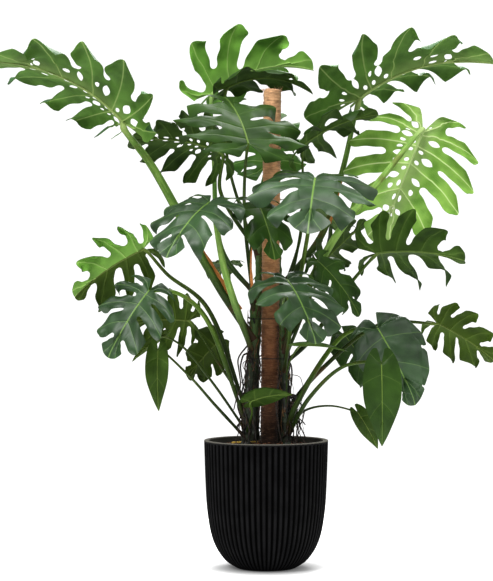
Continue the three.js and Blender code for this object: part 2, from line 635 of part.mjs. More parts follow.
// The petiole runs from inside its stem to the midrib's underside at the joint
function petiolePoints(leaf) {
  const root = stemAt(STEMS[leaf.stem], leaf.start).spot;
  const frame = bladeFrame(leaf);
  const buried = -(0.5 * petioleSize(leaf) + 0.5) / leaf.length;
  const under = bladePlace(leaf, frame, -0.02, 0, 1, 3 * buried, 0);
  const along = bladePlace(leaf, frame, 0.025, 0, 1, buried, 0);
  return [root, ...leaf.via.map((p) => vector(...p)), under, along];
}

function petiole(leaf) {
  const points = petiolePoints(leaf);
  const spans = points.length - 1;
  const stops = [...evenly(2 * spans - 2).map((share) => share * (spans - 1) / spans), 1];
  return rod(smooth(points), stops, (share) => petioleRadius(leaf, share), PETIOLE_SIDES);
}

function leafSolid(leaf) {
  const blade = thickened(bladeFace(leaf), BLADE_THICKNESS);
  return blade.add(petiole(leaf)).subtract(stemRod(STEMS[leaf.stem], CLEARANCE));
}

// A dried sheath: a thin cupped strip that lies along a petiole and narrows to a point
function makeSheath({ leaf: name, from, to, beside, wide, snug }) {
  const leaf = LEAVES.find((each) => each.name === name);
  const line = smooth(petiolePoints(leaf));
  const points = [];
  const triangles = [];
  for (let i = 0; i <= SHEATH.steps; i += 1) {
    const share = i / SHEATH.steps;
    const at = from + (to - from) * share;
    const along = line.getTangent(at);
    const outward = vector(...beside).addScaledVector(along, -along.dot(vector(...beside))).normalize();
    const across = outward.clone().cross(along);
    const off = petioleRadius(leaf, at) + SHEATH.thickness + 2 * CLEARANCE - snug;
    const half = (wide / 2) * (1 - 0.85 * share);
    for (const side of [-1, 0, 1]) {
      points.push(line.getPoint(at).addScaledVector(outward, off + 0.25 * half * Math.abs(side))
        .addScaledVector(across, side * half));
    }
    if (i > 0) {
      for (const k of [3 * i - 3, 3 * i - 2]) triangles.push(k, k + 4, k + 1, k, k + 3, k + 4);
    }
  }
  return thickened({ points, triangles }, SHEATH.thickness);
}

// Assembly
const group = new THREE.Group();

function addPart(name, solid, color, roughness = 0.7, metalness = 0) {
  const material = new THREE.MeshStandardMaterial({ color, roughness, metalness });
  const mesh = new THREE.Mesh(geometryOf(solid), material);
  mesh.name = name;
  group.add(mesh);
}

addPart('pot', makePot(), '#17181a', 0.8);
addPart('soil', makeSoil(), '#2a211b', 1);
addPart('coir_wrap', poleSolid(coirProfile(0)).subtract(poleSolid(coreProfile(CLEARANCE))), '#8a5a3c', 0.95);
addPart('pole_core', poleSolid(coreProfile(0), 16), '#b08a5a', 0.8);
for (const name of Object.keys(STEMS)) addPart(name, stemWithRoots(name), '#2c3322', 0.7);
TIE.heights.forEach((height, i) => addPart(`tie_${i + 1}`, makeTie(height), '#141414', 0.6));
SHEATHS.forEach((sheath, i) => addPart(`sheath_${i + 1}`, makeSheath(sheath), '#8f5429', 0.85));
addPart('fallen_stalk', rod(smooth(FALLEN_STALK.line.map((p) => vector(...p))), evenly(4),
  () => FALLEN_STALK.radius, 6), '#b08a2c', 0.8);
for (const leaf of LEAVES) addPart(leaf.name, leafSolid(leaf), TONES[leaf.green], 0.4);

export default group;
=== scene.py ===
# %% [markdown]
# # A potted Swiss cheese plant on a coir pole
#
# A big Monstera is hardly ever one tidy bush. It is a climber: a few ringed vines creep up a pole that is
# wrapped in coconut fibre, and each leaf hangs at the end of its own long stalk, its petiole. The packed
# CAD parts already stand where they should. This lesson dresses them: every part gets the fine shape and
# the finish that the real one has, in metres and in the same frame.

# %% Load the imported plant
import math

import bpy
import numpy as np
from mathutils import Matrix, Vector, noise


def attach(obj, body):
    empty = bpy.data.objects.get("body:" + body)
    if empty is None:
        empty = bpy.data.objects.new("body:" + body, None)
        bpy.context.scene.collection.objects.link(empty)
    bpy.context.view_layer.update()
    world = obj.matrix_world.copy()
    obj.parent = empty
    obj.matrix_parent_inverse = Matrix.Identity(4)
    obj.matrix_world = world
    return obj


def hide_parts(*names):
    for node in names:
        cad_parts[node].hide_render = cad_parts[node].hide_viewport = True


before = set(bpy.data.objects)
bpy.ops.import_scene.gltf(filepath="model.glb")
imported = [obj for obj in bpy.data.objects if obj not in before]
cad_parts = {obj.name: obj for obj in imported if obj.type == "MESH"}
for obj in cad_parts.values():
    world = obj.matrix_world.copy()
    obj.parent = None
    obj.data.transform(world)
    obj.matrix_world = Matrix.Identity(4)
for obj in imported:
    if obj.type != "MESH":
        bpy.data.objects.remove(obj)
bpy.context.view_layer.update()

# %% [markdown]
# ## The camera and the studio
#
# The picture was taken level with the middle of the plant, from far enough away that the pot's rim is only
# a thin ellipse. A long lens at 5.5 m gives that flat look. The focal length is worked out in pixels of
# the picture, so the plant fills the same part of the frame.
#
# A white room lights a plant from all round, but a bright one would wash out the deep greens and the black
# pot. So the room looks white and shines only a little, and broad lamps do the work: one from the upper
# left gives the leaves their shaded sides, a weak one from the right fills those in, one from above puts a
# soft sheen on the blades that lie level, and one from behind lights their edges. Small hard lamps would
# put sharp glints on every blade. The pale floor glows a little and fades into the room, so that no
# horizon shows, and a painted shadow makes it grey under the pot.

# %% Camera
PICTURE = (493, 581)
FOCAL_PIXELS = 1950
CAMERA_PLACE = (-0.0553, -5.5, 0.781)

camera_data = bpy.data.cameras.new("studio_camera")
camera_data.sensor_width = 36
camera_data.lens = FOCAL_PIXELS / max(PICTURE) * camera_data.sensor_width
camera = bpy.data.objects.new("studio_camera", camera_data)
camera.location = CAMERA_PLACE
camera.rotation_euler = (math.pi / 2, 0, 0)
bpy.context.scene.collection.objects.link(camera)
bpy.context.scene.camera = camera
print("lens", round(camera_data.lens, 1), "mm")

# %% Lamps
def soft_lamp(name, place, aim, size, power):
    """A square lamp in watts that looks at a spot above the pot."""
    lamp = bpy.data.lights.new(name, "AREA")
    lamp.size, lamp.energy = size, power
    stand = bpy.data.objects.new(name, lamp)
    stand.location = place
    stand.rotation_euler = (Vector(aim) - Vector(place)).to_track_quat("-Z", "Y").to_euler()
    bpy.context.scene.collection.objects.link(stand)


soft_lamp("lamp_upper_left", (-2.4, -3.4, 3.8), (0, 0, 0.8), 1.5, 170)
soft_lamp("lamp_above", (-0.2, -0.9, 4.2), (0, 0, 1.0), 1.6, 80)
soft_lamp("lamp_right", (3.4, -2.2, 2.0), (0, 0, 0.8), 2.0, 40)
soft_lamp("lamp_behind", (0.8, 3.0, 3.4), (0, 0, 0.9), 1.8, 110)
print(len(bpy.data.lights), "soft lamps")

# %% [markdown]
# ## Shader maths written as sentences
#
# A finish on a leaf is mostly arithmetic on masks: how near a vein is, how far a noise goes. Wiring that
# by hand hides the idea, so a small class wraps a socket and lets `1 - mask * 0.3` add its own Math nodes.
# Colours and vectors don't go through Math nodes, which would turn them grey: `blend` and `tint` mix
# colours, and `stretch` scales a place before a noise is read there.

# %% The Shade class
def paint(code):
    """A linear colour from a web colour code."""
    parts = [int(code[i:i + 2], 16) / 255 for i in (1, 3, 5)]
    return (*[c / 12.92 if c < 0.04045 else ((c + 0.055) / 1.055) ** 2.4 for c in parts], 1)


class Shade:
    """A socket on its way through the nodes of one material."""

    def __init__(self, tree, socket=None):
        self.tree, self.socket = tree, socket

    def node(self, kind, settings=None, inputs=None, out=0):
        made = self.tree.nodes.new(kind)
        for name, value in (settings or {}).items():
            if name == "stops":
                ramp = made.color_ramp
                while len(ramp.elements) < len(value):
                    ramp.elements.new(0.5)
                for stop, (place, code) in zip(ramp.elements, value):
                    stop.position, stop.color = place, paint(code)
            else:
                setattr(made, name, value)
        for name, value in (inputs or {}).items():
            self.feed(made.inputs[name], value)
        return Shade(self.tree, made.outputs[out])

    def feed(self, socket, value):
        if isinstance(value, Shade):
            self.tree.links.new(value.socket, socket)
        else:
            socket.default_value = value

    def maths(self, operation, *values):
        return self.node("ShaderNodeMath", {"operation": operation}, dict(enumerate(values)))

    def __add__(self, other):
        return self.maths("ADD", self, other)

    def __sub__(self, other):
        return self.maths("SUBTRACT", self, other)

    def __rsub__(self, other):
        return self.maths("SUBTRACT", other, self)

    def __mul__(self, other):
        return self.maths("MULTIPLY", self, other)

    def __truediv__(self, other):
        return self.maths("DIVIDE", self, other)

    def __abs__(self):
        return self.maths("ABSOLUTE", self)

    __radd__, __rmul__ = __add__, __mul__

    def fade(self, low, high):
        """0 below low, 1 above high, smooth between; low may be the larger one."""
        if low > high:
            return 1 - self.fade(high, low)
        return self.node("ShaderNodeMapRange", {"interpolation_type": "SMOOTHSTEP"},
                         {0: self, "From Min": low, "From Max": high})

    def stretch(self, by):
        return self.node("ShaderNodeVectorMath", {"operation": "MULTIPLY"}, {0: self, 1: by})

    def part(self, axis):
        return self.node("ShaderNodeSeparateXYZ", None, {0: self}, "XYZ".index(axis))

    def noise(self, scale, detail=2.0, roughness=0.5):
        return self.node("ShaderNodeTexNoise", None,
                         {"Vector": self, "Scale": scale, "Detail": detail, "Roughness": roughness})

    def blend(self, code, other):
        """From one colour at 0 to another at 1."""
        colours = {6: paint(code), 7: paint(other)}
        return self.node("ShaderNodeMix", {"data_type": "RGBA"}, {0: self, **colours}, 2)

    def tint(self, code, share):
        return self.node("ShaderNodeMix", {"data_type": "RGBA"}, {0: share, 6: self, 7: paint(code)}, 2)


print("linear leaf green", [round(c, 3) for c in paint("#3f6a2a")])

# %% Finish helpers
def new_finish(name, **constants):
    """A material, its shader and the place on the object; constants go straight onto the shader's sockets."""
    material = bpy.data.materials.new(name)
    material.use_nodes = True
    shader = material.node_tree.nodes["Principled BSDF"]
    for socket, value in constants.items():
        shader.inputs[socket.replace("_", " ").title().replace("Ior", "IOR")].default_value = value
    return material, shader, Shade(material.node_tree).node("ShaderNodeTexCoord", out=3)


def skin_maps(here):
    """The two maps that every grown shell carries, both in metres or in shares of its length."""
    return [here.node("ShaderNodeUVMap", {"uv_map": name}) for name in ("near", "far")]


def cover(shader, base, rough, height, strength, depth):
    """Feeds what changes over a surface: its colour, its roughness and its finest relief."""
    bump = height.node("ShaderNodeBump", None, {"Strength": strength, "Distance": depth, "Height": height})
    for name, value in (("Base Color", base), ("Roughness", rough), ("Normal", bump)):
        base.feed(shader.inputs[name], value)


print("a finish is made with new_finish and cover")

# %% The white room
ROOM_GLOW, SKY_GLOW = 0.3, 0.25

world = bpy.data.worlds.new("white_room")
bpy.context.scene.world = world
world.use_nodes = True
room = Shade(world.node_tree)
seen = room.node("ShaderNodeLightPath", out=0)
height = room.node("ShaderNodeTexCoord", out=0).part("Z")
background = world.node_tree.nodes["Background"]
background.inputs["Color"].default_value = (1, 1, 1, 1)
room.feed(background.inputs["Strength"], seen + (1 - seen) * (ROOM_GLOW + SKY_GLOW * height.fade(0.0, 0.7)))

looks = bpy.context.scene.view_settings
looks.view_transform, looks.look = "Standard", "None"
looks.exposure, looks.gamma = 0.2, 0.9
print("the room glows", ROOM_GLOW, "at the floor and", ROOM_GLOW + SKY_GLOW, "above")

# %% Floor
FLOOR_RADIUS = 2.4
POT_SHADE = (0.05, 0.24)
FLOOR_FADE = (2.3, 0.9)

bpy.ops.mesh.primitive_circle_add(vertices=96, radius=FLOOR_RADIUS, fill_type="NGON", location=(0, 0, 0))
floor = bpy.context.object
floor.name = "studio_floor"
material, shader, here = new_finish("pale_floor", roughness=0.9, specular_ior_level=0.05,
                                    emission_strength=0.5)
away = here.node("ShaderNodeVectorMath", {"operation": "LENGTH"}, {0: here}, 1)
# Painted shadow: the floor's colour and glow turn grey close to the pot, as if the pot shaded it.
floor_with_painted_shadow = away.fade(*POT_SHADE).blend("#6a6a6a", "#ffffff")
for socket, value in (("Base Color", floor_with_painted_shadow), ("Emission Color", floor_with_painted_shadow), ("Alpha", away.fade(*FLOOR_FADE))):
    here.feed(shader.inputs[socket], value)
floor.data.materials.append(material)
print("floor", 2 * FLOOR_RADIUS, "m across")

# %% [markdown]
# ## Lines, rods and seeded draws
#
# Vines, stalks, roots and fibres are all long round things that follow a curve. They could be Blender
# curves with a bevel, but a mesh swept by hand can swell at a joint and carry a map of its own length for
# the finish, so one `rod` serves them all. The curve is the same centripetal spline that the CAD parts
# use, which never loops where two points are close. The pole, the pot, the mix and the sheaths are rings
# of points with a skin over them, so they share `ring_faces` and `closed_rings`.

# %% Draws and curve
MM = 0.001


def draws(seed):
    """A repeatable stream of numbers from 0 to 1, the same one that cut the CAD leaves."""
    state = seed
    while True:
        state = (state * 1664525 + 1013904223) % 2**32
        yield state / 2**32


def smooth_line(points, shares):
    """Points on a centripetal spline at shares from 0 to 1."""
    points = [np.array(p, float) for p in points]
    points = [2 * points[0] - points[1], *points, 2 * points[-1] - points[-2]]
    spans = len(points) - 3
    found = []
    for share in shares:
        i = min(int(share * spans), spans - 1)
        w = share * spans - i
        a, b, c, d = points[i:i + 4]
        first, middle, last = [float(np.dot(q - p, q - p)) ** 0.25 for p, q in ((a, b), (b, c), (c, d))]
        middle = middle if middle > 1e-4 else 1.0
        first = first if first > 1e-4 else middle
        last = last if last > 1e-4 else middle
        leave = ((b - a) / first - (c - a) / (first + middle) + (c - b) / middle) * middle
        arrive = ((c - b) / middle - (d - b) / (middle + last) + (d - c) / last) * middle
        bend, twist = -3 * b + 3 * c - 2 * leave - arrive, 2 * b - 2 * c + leave + arrive
        found.append(b + leave * w + bend * w**2 + twist * w**3)
    return np.array(found)


def way_along(line):
    """How far each spot of a line is from its start, along it."""
    return np.concatenate([[0], np.cumsum(np.linalg.norm(np.diff(line, axis=0), axis=1))])


print("a test line of 5 points:", smooth_line([(0, 0, 0), (0, 0, 1), (1, 0, 2)], np.linspace(0, 1, 5))[2])

# %% Rings
def ring_faces(rings, sides):
    """The quads between rings of points, each ring joined to the next."""
    row, k = [v.ravel() for v in np.meshgrid(np.arange(rings - 1), np.arange(sides), indexing="ij")]
    low, after = row * sides, (k + 1) % sides
    return np.stack([low + k, low + after, low + sides + after, low + sides + k], 1)


def closed_rings(spots, near=None, downward=False):
    """A closed shell over rings of points; downward turns it over, for rings that run from the top down."""
    rings, sides = spots.shape[:2]
    near = np.zeros((rings * sides, 2)) if near is None else near
    walls = ring_faces(rings, sides)
    first, last = np.arange(sides)[None, ::-1], (rings - 1) * sides + np.arange(sides)[None, :]
    if downward:
        walls, first, last = walls[:, [0, 3, 2, 1]], first[:, ::-1], last[:, ::-1]
    return {"spots": spots.reshape(-1, 3), "near": near, "far": near,
            "faces": [(face, face, 0) for face in (walls, first, last)]}


print("a tube of 3 rings with 8 sides has", len(ring_faces(3, 8)), "quads")

# %% Rod
def level_ways(line):
    """The heading of a line and two ways square to it, carried along without twisting."""
    heading = np.gradient(line, axis=0)
    heading /= np.linalg.norm(heading, axis=1)[:, None]
    across = np.cross(heading[0], [0.36, 0.48, 0.8])
    frames = []
    for way in heading:
        across = across - way * across.dot(way)
        across /= np.linalg.norm(across)
        frames.append(across)
    return heading, np.array(frames), np.cross(heading, np.array(frames))


def rod(line, radii, sides, finish=0, relief=1):
    """A round rod along a line, closed at both ends, with a map of (round, along) and one of (share, 0)."""
    line, radii = np.asarray(line), np.asarray(radii, float)
    count = len(line)
    heading, across, upward = level_ways(line)
    turn = 2 * np.pi * np.arange(sides) / sides
    reach = radii[:, None] * relief * np.ones((count, sides))
    spots = line[:, None] + reach[..., None] * (
        across[:, None] * np.cos(turn)[None, :, None] + upward[:, None] * np.sin(turn)[None, :, None])
    ends = [line[0] - heading[0] * radii[0] * 0.5, line[-1] + heading[-1] * radii[-1] * 0.5]
    spots = np.vstack([spots.reshape(-1, 3), ends])
    k = np.arange(sides)
    after, top = (k + 1) % sides, (count - 1) * sides
    caps = np.vstack([np.stack([np.full(sides, top + sides), after, k], 1),
                      np.stack([np.full(sides, top + sides + 1), top + k, top + after], 1)])
    wide_maps = ring_faces(count, sides + 1).reshape(count - 1, sides + 1, 4)[:, :-1].reshape(-1, 4)
    cap_maps = np.vstack([np.zeros((sides, 3), int), np.full((sides, 3), (count - 1) * (sides + 1))])
    along = way_along(line)
    length, turned = [v.ravel() for v in np.meshgrid(along, np.arange(sides + 1) / sides, indexing="ij")]
    return {"spots": spots, "near": np.stack([turned, length], 1),
            "far": np.stack([length / along[-1], 0 * length], 1),
            "faces": [(ring_faces(count, sides), wide_maps, finish), (caps, cap_maps, finish)]}


print("a rod of 2 points and 6 sides:", len(rod([(0, 0, 0), (0, 0, 1)], [1, 1], 6)["spots"]), "points")

# %% A piece
def make_piece(name, shells, finishes, node, crease=50):
    """Joins shells into one mesh piece that stands for a CAD node."""
    faces, near, far, which, base = [], [], [], [], 0
    for shell in shells:
        for corners, maps, finish in shell["faces"]:
            faces.extend((corners + base).tolist())
            near.append(shell["near"][maps].reshape(-1, 2))
            far.append(shell["far"][maps].reshape(-1, 2))
            which.append(np.full(len(corners), finish))
        base += len(shell["spots"])
    mesh = bpy.data.meshes.new(name)
    mesh.from_pydata(np.vstack([shell["spots"] for shell in shells]).tolist(), [], faces)
    for title, values in (("near", near), ("far", far)):
        mesh.uv_layers.new(name=title).uv.foreach_set("vector", np.vstack(values).astype(np.float32).ravel())
    mesh.polygons.foreach_set("material_index", np.concatenate(which).astype(np.int32))
    mesh.shade_smooth()
    mesh.set_sharp_from_angle(angle=math.radians(crease))
    for finish in finishes:
        mesh.materials.append(finish)
    mesh.update()
    piece = bpy.data.objects.new(name, mesh)
    bpy.context.scene.collection.objects.link(piece)
    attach(piece, "root")
    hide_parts(node)
    print(name, "has", len(mesh.polygons), "faces")


# %% [markdown]
# ## How a Monstera leaf is cut
#
# Every leaf starts as a heart. A pair of side veins leaves the midrib every few centimetres, and between
# two neighbours the blade dies back while the leaf is still rolled up: near the midrib that makes a hole,
# near the margin a split. So the splits lie halfway between the side veins, and what is left is a row of
# straps, each with a vein down its middle. The small low leaves are young: they stay whole and end in a
# long point.
#
# An outline cut from a plane with a boolean would give ragged faces and no veins. Here each strap is a
# small grid instead: one direction runs along its vein, the other across it from split to split, so the
# columns can crowd round the vein and a finish knows how far any spot is from it. The numbers are the CAD
# leaf's own, in millimetres and degrees.

# %% The kinds of leaf
# lobes: how many splits each half has. cut: how far they reach in from the margin, as a share of the way to
# the midrib. holes: whether holes open nearer the midrib. gap: how wide the splits are, next to the usual.
# wide: the blade's width, next to the plain heart's.
FRETTED = dict(lobes=5, cut=0.6, holes=True, wide=0.84)
SPLIT = dict(lobes=4, cut=0.72, holes=False, wide=0.86)
FANNED = dict(lobes=4, cut=0.78, holes=False, wide=0.86, gap=1.7)
SMALL = dict(lobes=3, cut=0.65, holes=False, wide=0.84)
YOUNG = dict(lobes=3, cut=0.45, holes=False, wide=0.78)
ENTIRE = dict(lobes=3, cut=0, holes=False, wide=0.72)
print("a fretted leaf has", 2 * FRETTED["lobes"] + 2, "straps")

# %% The vines
# line: the middle of the vine from its foot up. thick: its radius at the foot; VINE_TIP is the one on top.
VINES = {
    "left": dict(line=[(-64, -38, 285), (-52, -36, 430), (-40, -26, 600), (-34, -18, 780)], thick=14),
    "right": dict(line=[(62, -34, 285), (56, -28, 430), (50, -20, 580), (46, -14, 720)], thick=13),
    "rear_left": dict(line=[(-34, 52, 285), (-30, 48, 480), (-24, 38, 700), (-18, 34, 930)], thick=13),
    "rear_right": dict(line=[(42, 48, 285), (40, 44, 480), (36, 38, 680), (34, 34, 880)], thick=13),
}
VINE_TIP = 9
print(len(VINES), "vines")

# %% Every leaf of this plant
# start: the height at which the petiole leaves its vine. via: points that it passes. joint: where it meets
# the blade. stout: how much thicker than usual it is. aim: the midrib's compass, then its rise. roll: the
# blade's turn about the midrib. droop: the midrib's bend. fold: how steeply the halves rise from it. arch:
# how far they bend down again. wide: as for the kinds. sag: how far the free straps hang. base: the size of
# each half's lobe beside the joint. splits: how much of the kind's cuts each half has. tone: the finish of
# the blade. lit: the half that is painted in another, lighter tone as painted light, and that tone. stalk:
# another tone's stalk. quilt: how much more than usual the skin bulges between the side veins.
LEAVES = [
    dict(name="01", kind=FRETTED, length=430, vine="left", start=640,
         via=[(-170, -80, 860), (-320, -115, 1130)], joint=(-390, -110, 1240), aim=(180, 50), roll=26,
         droop=58, arch=14, wide=0.95, sag=0.04, base=(1, 0.6), seed=11, tone="holed", stout=1.9),
    dict(name="02", kind=FANNED, length=325, vine="rear_left", start=760,
         via=[(-125, 90, 895), (-150, 145, 1160)], joint=(-160, 150, 1350), aim=(25, 42), roll=-48,
         droop=75, arch=8, fold=35, wide=1.0, seed=18, tone="bright", stout=1.4),
    dict(name="03", kind=FRETTED, length=415, vine="rear_right", start=780,
         via=[(160, 90, 940), (220, 95, 1125)], joint=(260, 80, 1325), aim=(0, 40), roll=-22, droop=55,
         arch=16, fold=22, wide=0.95, base=(0.75, 1.35), seed=25, tone="holed", stout=1.4),
    dict(name="04", kind=FRETTED, length=340, vine="right", start=635,
         via=[(180, -50, 910), (335, -30, 1110)], joint=(445, 30, 1230), aim=(165, -68), roll=84,
         droop=12, arch=18, wide=1.05, seed=32, tone="lime", stout=1.9),
    dict(name="05", kind=FRETTED, length=285, vine="rear_left", start=880, via=[(-130, 40, 1065)],
         joint=(-125, 15, 1170), aim=(180, 24), roll=48, droop=55, arch=20, seed=39, tone="dark",
         stout=1.2),
    dict(name="06", kind=SPLIT, length=300, vine="left", start=740,
         via=[(-60, -90, 975), (-60, -190, 1095)], joint=(-50, -275, 1175), aim=(104, 44), roll=5,
         droop=28, arch=25, wide=1.2, seed=46, tone="dark"),
    dict(name="07", kind=FANNED, length=240, vine="right", start=700, via=[(100, -60, 980)],
         joint=(100, -60, 1185), aim=(22, 38), roll=-30, droop=35, arch=25, wide=1.0, seed=53,
         tone="dark"),
    dict(name="08", kind=SPLIT, length=290, vine="right", start=606, via=[(100, -175, 865)],
         joint=(130, -235, 1085), aim=(-95, -18), roll=-5, droop=30, arch=25, wide=1.15, seed=60,
         tone="glossy", stout=1.3, quilt=3.6),
    dict(name="09", kind=SPLIT, length=250, vine="left", start=606, via=[(-115, -170, 835)],
         joint=(-155, -240, 1020), aim=(-122, -22), roll=-5, droop=32, arch=25, wide=1.0, seed=67,
         tone="glossy", stout=2.4, stalk="lime", quilt=3.6),
    dict(name="10", kind=SMALL, length=205, vine="left", start=715, via=[(-45, -130, 865)],
         joint=(-25, -190, 1020), aim=(-70, -35), roll=0, droop=30, arch=30, seed=74, tone="dark",
         stout=1.3),
    dict(name="11", kind=FANNED, length=235, vine="left", start=430,
         via=[(-170, -60, 740), (-275, -60, 825)], joint=(-345, -60, 895), aim=(180, -25), roll=55,
         droop=35, arch=20, wide=1.0, seed=81, tone="olive", stout=1.6, lit=(1, "bright")),
    dict(name="12", kind=SPLIT, length=215, vine="left", start=400,
         via=[(-175, -100, 715), (-250, -130, 775)], joint=(-325, -130, 780), aim=(-150, -48), roll=-38,
         droop=30, arch=25, wide=1.0, seed=88, tone="glossy", stout=1.9, quilt=3.6),
    dict(name="13", kind=SPLIT, length=165, vine="rear_left", start=420, via=[(-115, 40, 545)],
         joint=(-220, 45, 695), aim=(190, 5), roll=68, droop=25, arch=20, wide=1.15, seed=95,
         tone="olive", stout=1.6),
    dict(name="14", kind=ENTIRE, length=170, vine="left", start=366,
         via=[(-145, -75, 465), (-210, -95, 540)], joint=(-300, -110, 615), aim=(-110, -82), roll=0,
         droop=20, arch=25, wide=0.42, seed=102, tone="olive", stout=1.5),
    dict(name="15", kind=YOUNG, length=150, vine="rear_left", start=400, via=[(-95, 90, 540)],
         joint=(-135, 110, 635), aim=(205, -40), roll=70, droop=20, arch=20, wide=1.15, seed=109,
         tone="olive", stout=1.6),
    dict(name="16", kind=ENTIRE, length=125, vine="left", start=372, via=[(-40, -90, 445)],
         joint=(-45, -110, 475), aim=(-10, 22), roll=-35, droop=30, arch=25, seed=116, tone="mid"),
    dict(name="17", kind=SPLIT, length=240, vine="right", start=550, via=[(65, -160, 700)],
         joint=(55, -225, 810), aim=(-65, -30), roll=0, droop=30, arch=25, wide=1.05, seed=123,
         tone="glossy", stout=1.4, quilt=3.6),
    dict(name="18", kind=SMALL, length=190, vine="right", start=580, via=[(115, -80, 755)],
         joint=(145, -105, 860), aim=(-5, -42), roll=40, droop=30, arch=25, wide=0.8, seed=130,
         tone="dark", stout=1.5),
    dict(name="19", kind=FANNED, length=255, vine="rear_right", start=560,
         via=[(125, 20, 640), (220, -20, 780)], joint=(305, -60, 885), aim=(0, 8), roll=-52, droop=42,
         arch=12, fold=32, wide=1.0, seed=137, tone="dark", stout=1.5),
    dict(name="20", kind=SPLIT, length=195, vine="rear_right", start=420,
         via=[(155, 30, 555), (325, 40, 685)], joint=(485, 40, 690), aim=(0, -26), roll=-52, droop=25,
         arch=15, fold=20, wide=0.95, seed=144, tone="olive", stout=2.0),
    dict(name="21", kind=YOUNG, length=235, vine="right", start=385,
         via=[(85, -60, 465), (220, -70, 660)], joint=(310, -75, 675), aim=(-30, -55), roll=38, droop=25,
         arch=20, wide=0.95, seed=151, tone="glossy", splits=(0.5, 1), stout=2.0, quilt=7),
    dict(name="22", kind=ENTIRE, length=225, vine="right", start=368,
         via=[(120, -95, 485), (215, -160, 575)], joint=(310, -220, 580), aim=(-75, -84), roll=10,
         droop=20, arch=25, wide=0.48, seed=158, tone="mid", stout=1.6),
    dict(name="23", kind=ENTIRE, length=120, vine="right", start=400, via=[(115, 0, 445), (185, 10, 455)],
         joint=(260, 20, 435), aim=(-10, -55), roll=55, droop=25, arch=25, wide=0.5, seed=165,
         tone="olive", stout=1.2),
    dict(name="24", kind=SMALL, length=190, vine="rear_right", start=380, via=[(125, 110, 525)],
         joint=(230, 140, 650), aim=(-20, -50), roll=30, droop=25, arch=25, seed=172, tone="dark",
         stout=1.8),
    dict(name="25", kind=ENTIRE, length=138, vine="right", start=400, via=[(60, -60, 565)],
         joint=(90, -125, 630), aim=(-8, 3), roll=-10, droop=20, arch=15, wide=0.5, seed=179,
         tone="dark"),
    dict(name="26", kind=SPLIT, length=260, vine="rear_left", start=900, via=[(-30, 90, 995)],
         joint=(0, 110, 1140), aim=(80, 58), roll=0, droop=35, arch=25, seed=186, tone="bright"),
    dict(name="27", kind=YOUNG, length=140, vine="rear_left", start=620, via=[(-95, 90, 755)],
         joint=(-105, 140, 865), aim=(110, -10), roll=0, droop=25, arch=25, seed=193, tone="dark"),
    dict(name="28", kind=FANNED, length=175, vine="rear_right", start=600, via=[(110, 60, 725)],
         joint=(160, 30, 860), aim=(20, 45), roll=-45, droop=10, arch=15, wide=1.25, seed=200, tone="mid",
         stout=1.5),
    dict(name="29", kind=SMALL, length=265, vine="rear_left", start=860, via=[(-110, 170, 1160)],
         joint=(-115, 80, 1360), aim=(0, 30), roll=-12, droop=70, arch=20, wide=0.8, seed=207,
         tone="dark"),
    dict(name="30", kind=SMALL, length=260, vine="rear_right", start=740, via=[(100, 160, 930)],
         joint=(115, 240, 1045), aim=(60, 0), roll=0, droop=40, arch=25, wide=0.86, seed=214,
         tone="dark"),
    dict(name="31", kind=SMALL, length=220, vine="rear_right", start=520, via=[(25, 150, 665)],
         joint=(45, 240, 780), aim=(85, -10), roll=0, droop=40, arch=25, wide=0.86, seed=221,
         tone="dark"),
    dict(name="32", kind=ENTIRE, length=115, vine="left", start=385,
         via=[(-155, -50, 530), (-240, -60, 630)], joint=(-290, -60, 655), aim=(190, -32), roll=40,
         droop=20, arch=20, wide=0.4, seed=228, tone="olive", stout=1.3),
]
print(len(LEAVES), "leaves")

# %% Outline and splits
HOLE = (0.13, 0.23, 0.33)
UNCUT = 0.6
TAPER = (0.4, 0.62)


def margin_point(angle, base_size=1.0):
    """A point on the heart's margin, seen from its middle: 0 degrees is the tip, 180 the joint's side."""
    angle = np.asarray(angle, float)
    base = np.clip((angle - 150) / 30, 0, None)
    small = 1 - (1 - base_size) * np.clip((angle - 80) / 50, 0, 1)
    reach = (0.535 + 0.195 * np.exp(-(angle / 28) ** 2)) * (1 - 0.25 * base**2) * small
    return np.stack([0.27 + reach * np.cos(np.radians(angle)), reach * np.sin(np.radians(angle))], -1)


def vein_pairs(kind):
    """Where each split leaves the midrib, and the angle at which it heads for the margin."""
    pairs = []
    for j in range(kind["lobes"] + 1):
        angle = 168 - 148 * (j / kind["lobes"]) ** 0.95
        along, out = margin_point(angle)
        wanted = along - out / math.tan(math.radians(35 + 0.45 * angle))
        pairs.append((angle, 0 if j < 2 else max(wanted, pairs[-1][1] + 0.05)))
    return pairs


def split_lines(kind, base_size, share, draw):
    """Each split of one half, from the lobe at the joint to the tip, with its own width and depth."""
    lines = []
    for j, (angle, rib) in enumerate(vein_pairs(kind)):
        wander = 0 if j in (0, kind["lobes"]) else 5 * (draw() - 0.5)
        angle = angle + wander
        line = dict(start=np.array([rib, 0.0]), end=margin_point(angle, base_size), angle=angle)
        line["open"] = 1 - kind["cut"] * share * (0.85 + 0.3 * draw())
        line["hole"] = 0.018 + 0.014 * draw() if kind["holes"] and j > 0 and draw() < 0.8 else 0
        line["gap"] = (0.024 + 0.036 * draw()) * kind.get("gap", 1) * share
        line["edge"] = j == 0
        if j == 0:
            line["open"] = UNCUT
        lines.append(line)
    return lines


trial_line = split_lines(SPLIT, 1, 1, draws(18).__next__)[1]
print("first split of a split leaf opens at", round(trial_line["open"], 2))

# %% Rows along a split
def line_rows(kind, open_from):
    """Shares along a split at which the blade gets a row of points, crowded where the split begins."""
    if kind["cut"] == 0:
        return np.linspace(0, 1, 17)
    levels, steps = [0], [np.linspace(0, 1, 9)]
    if kind["holes"]:
        levels, steps = [0, *HOLE], [np.linspace(0, 1, 7), np.linspace(1, 3, 9)[1:], np.linspace(3, 4, 3)[1:]]
    last = len(levels)
    levels += [open_from, open_from + 0.45 * (1 - open_from), 1]
    steps += [last + np.linspace(0, 1, 9)[1:] ** 1.7, last + np.linspace(1, 2, 8)[1:]]
    return np.interp(np.concatenate(steps), np.arange(len(levels)), levels)


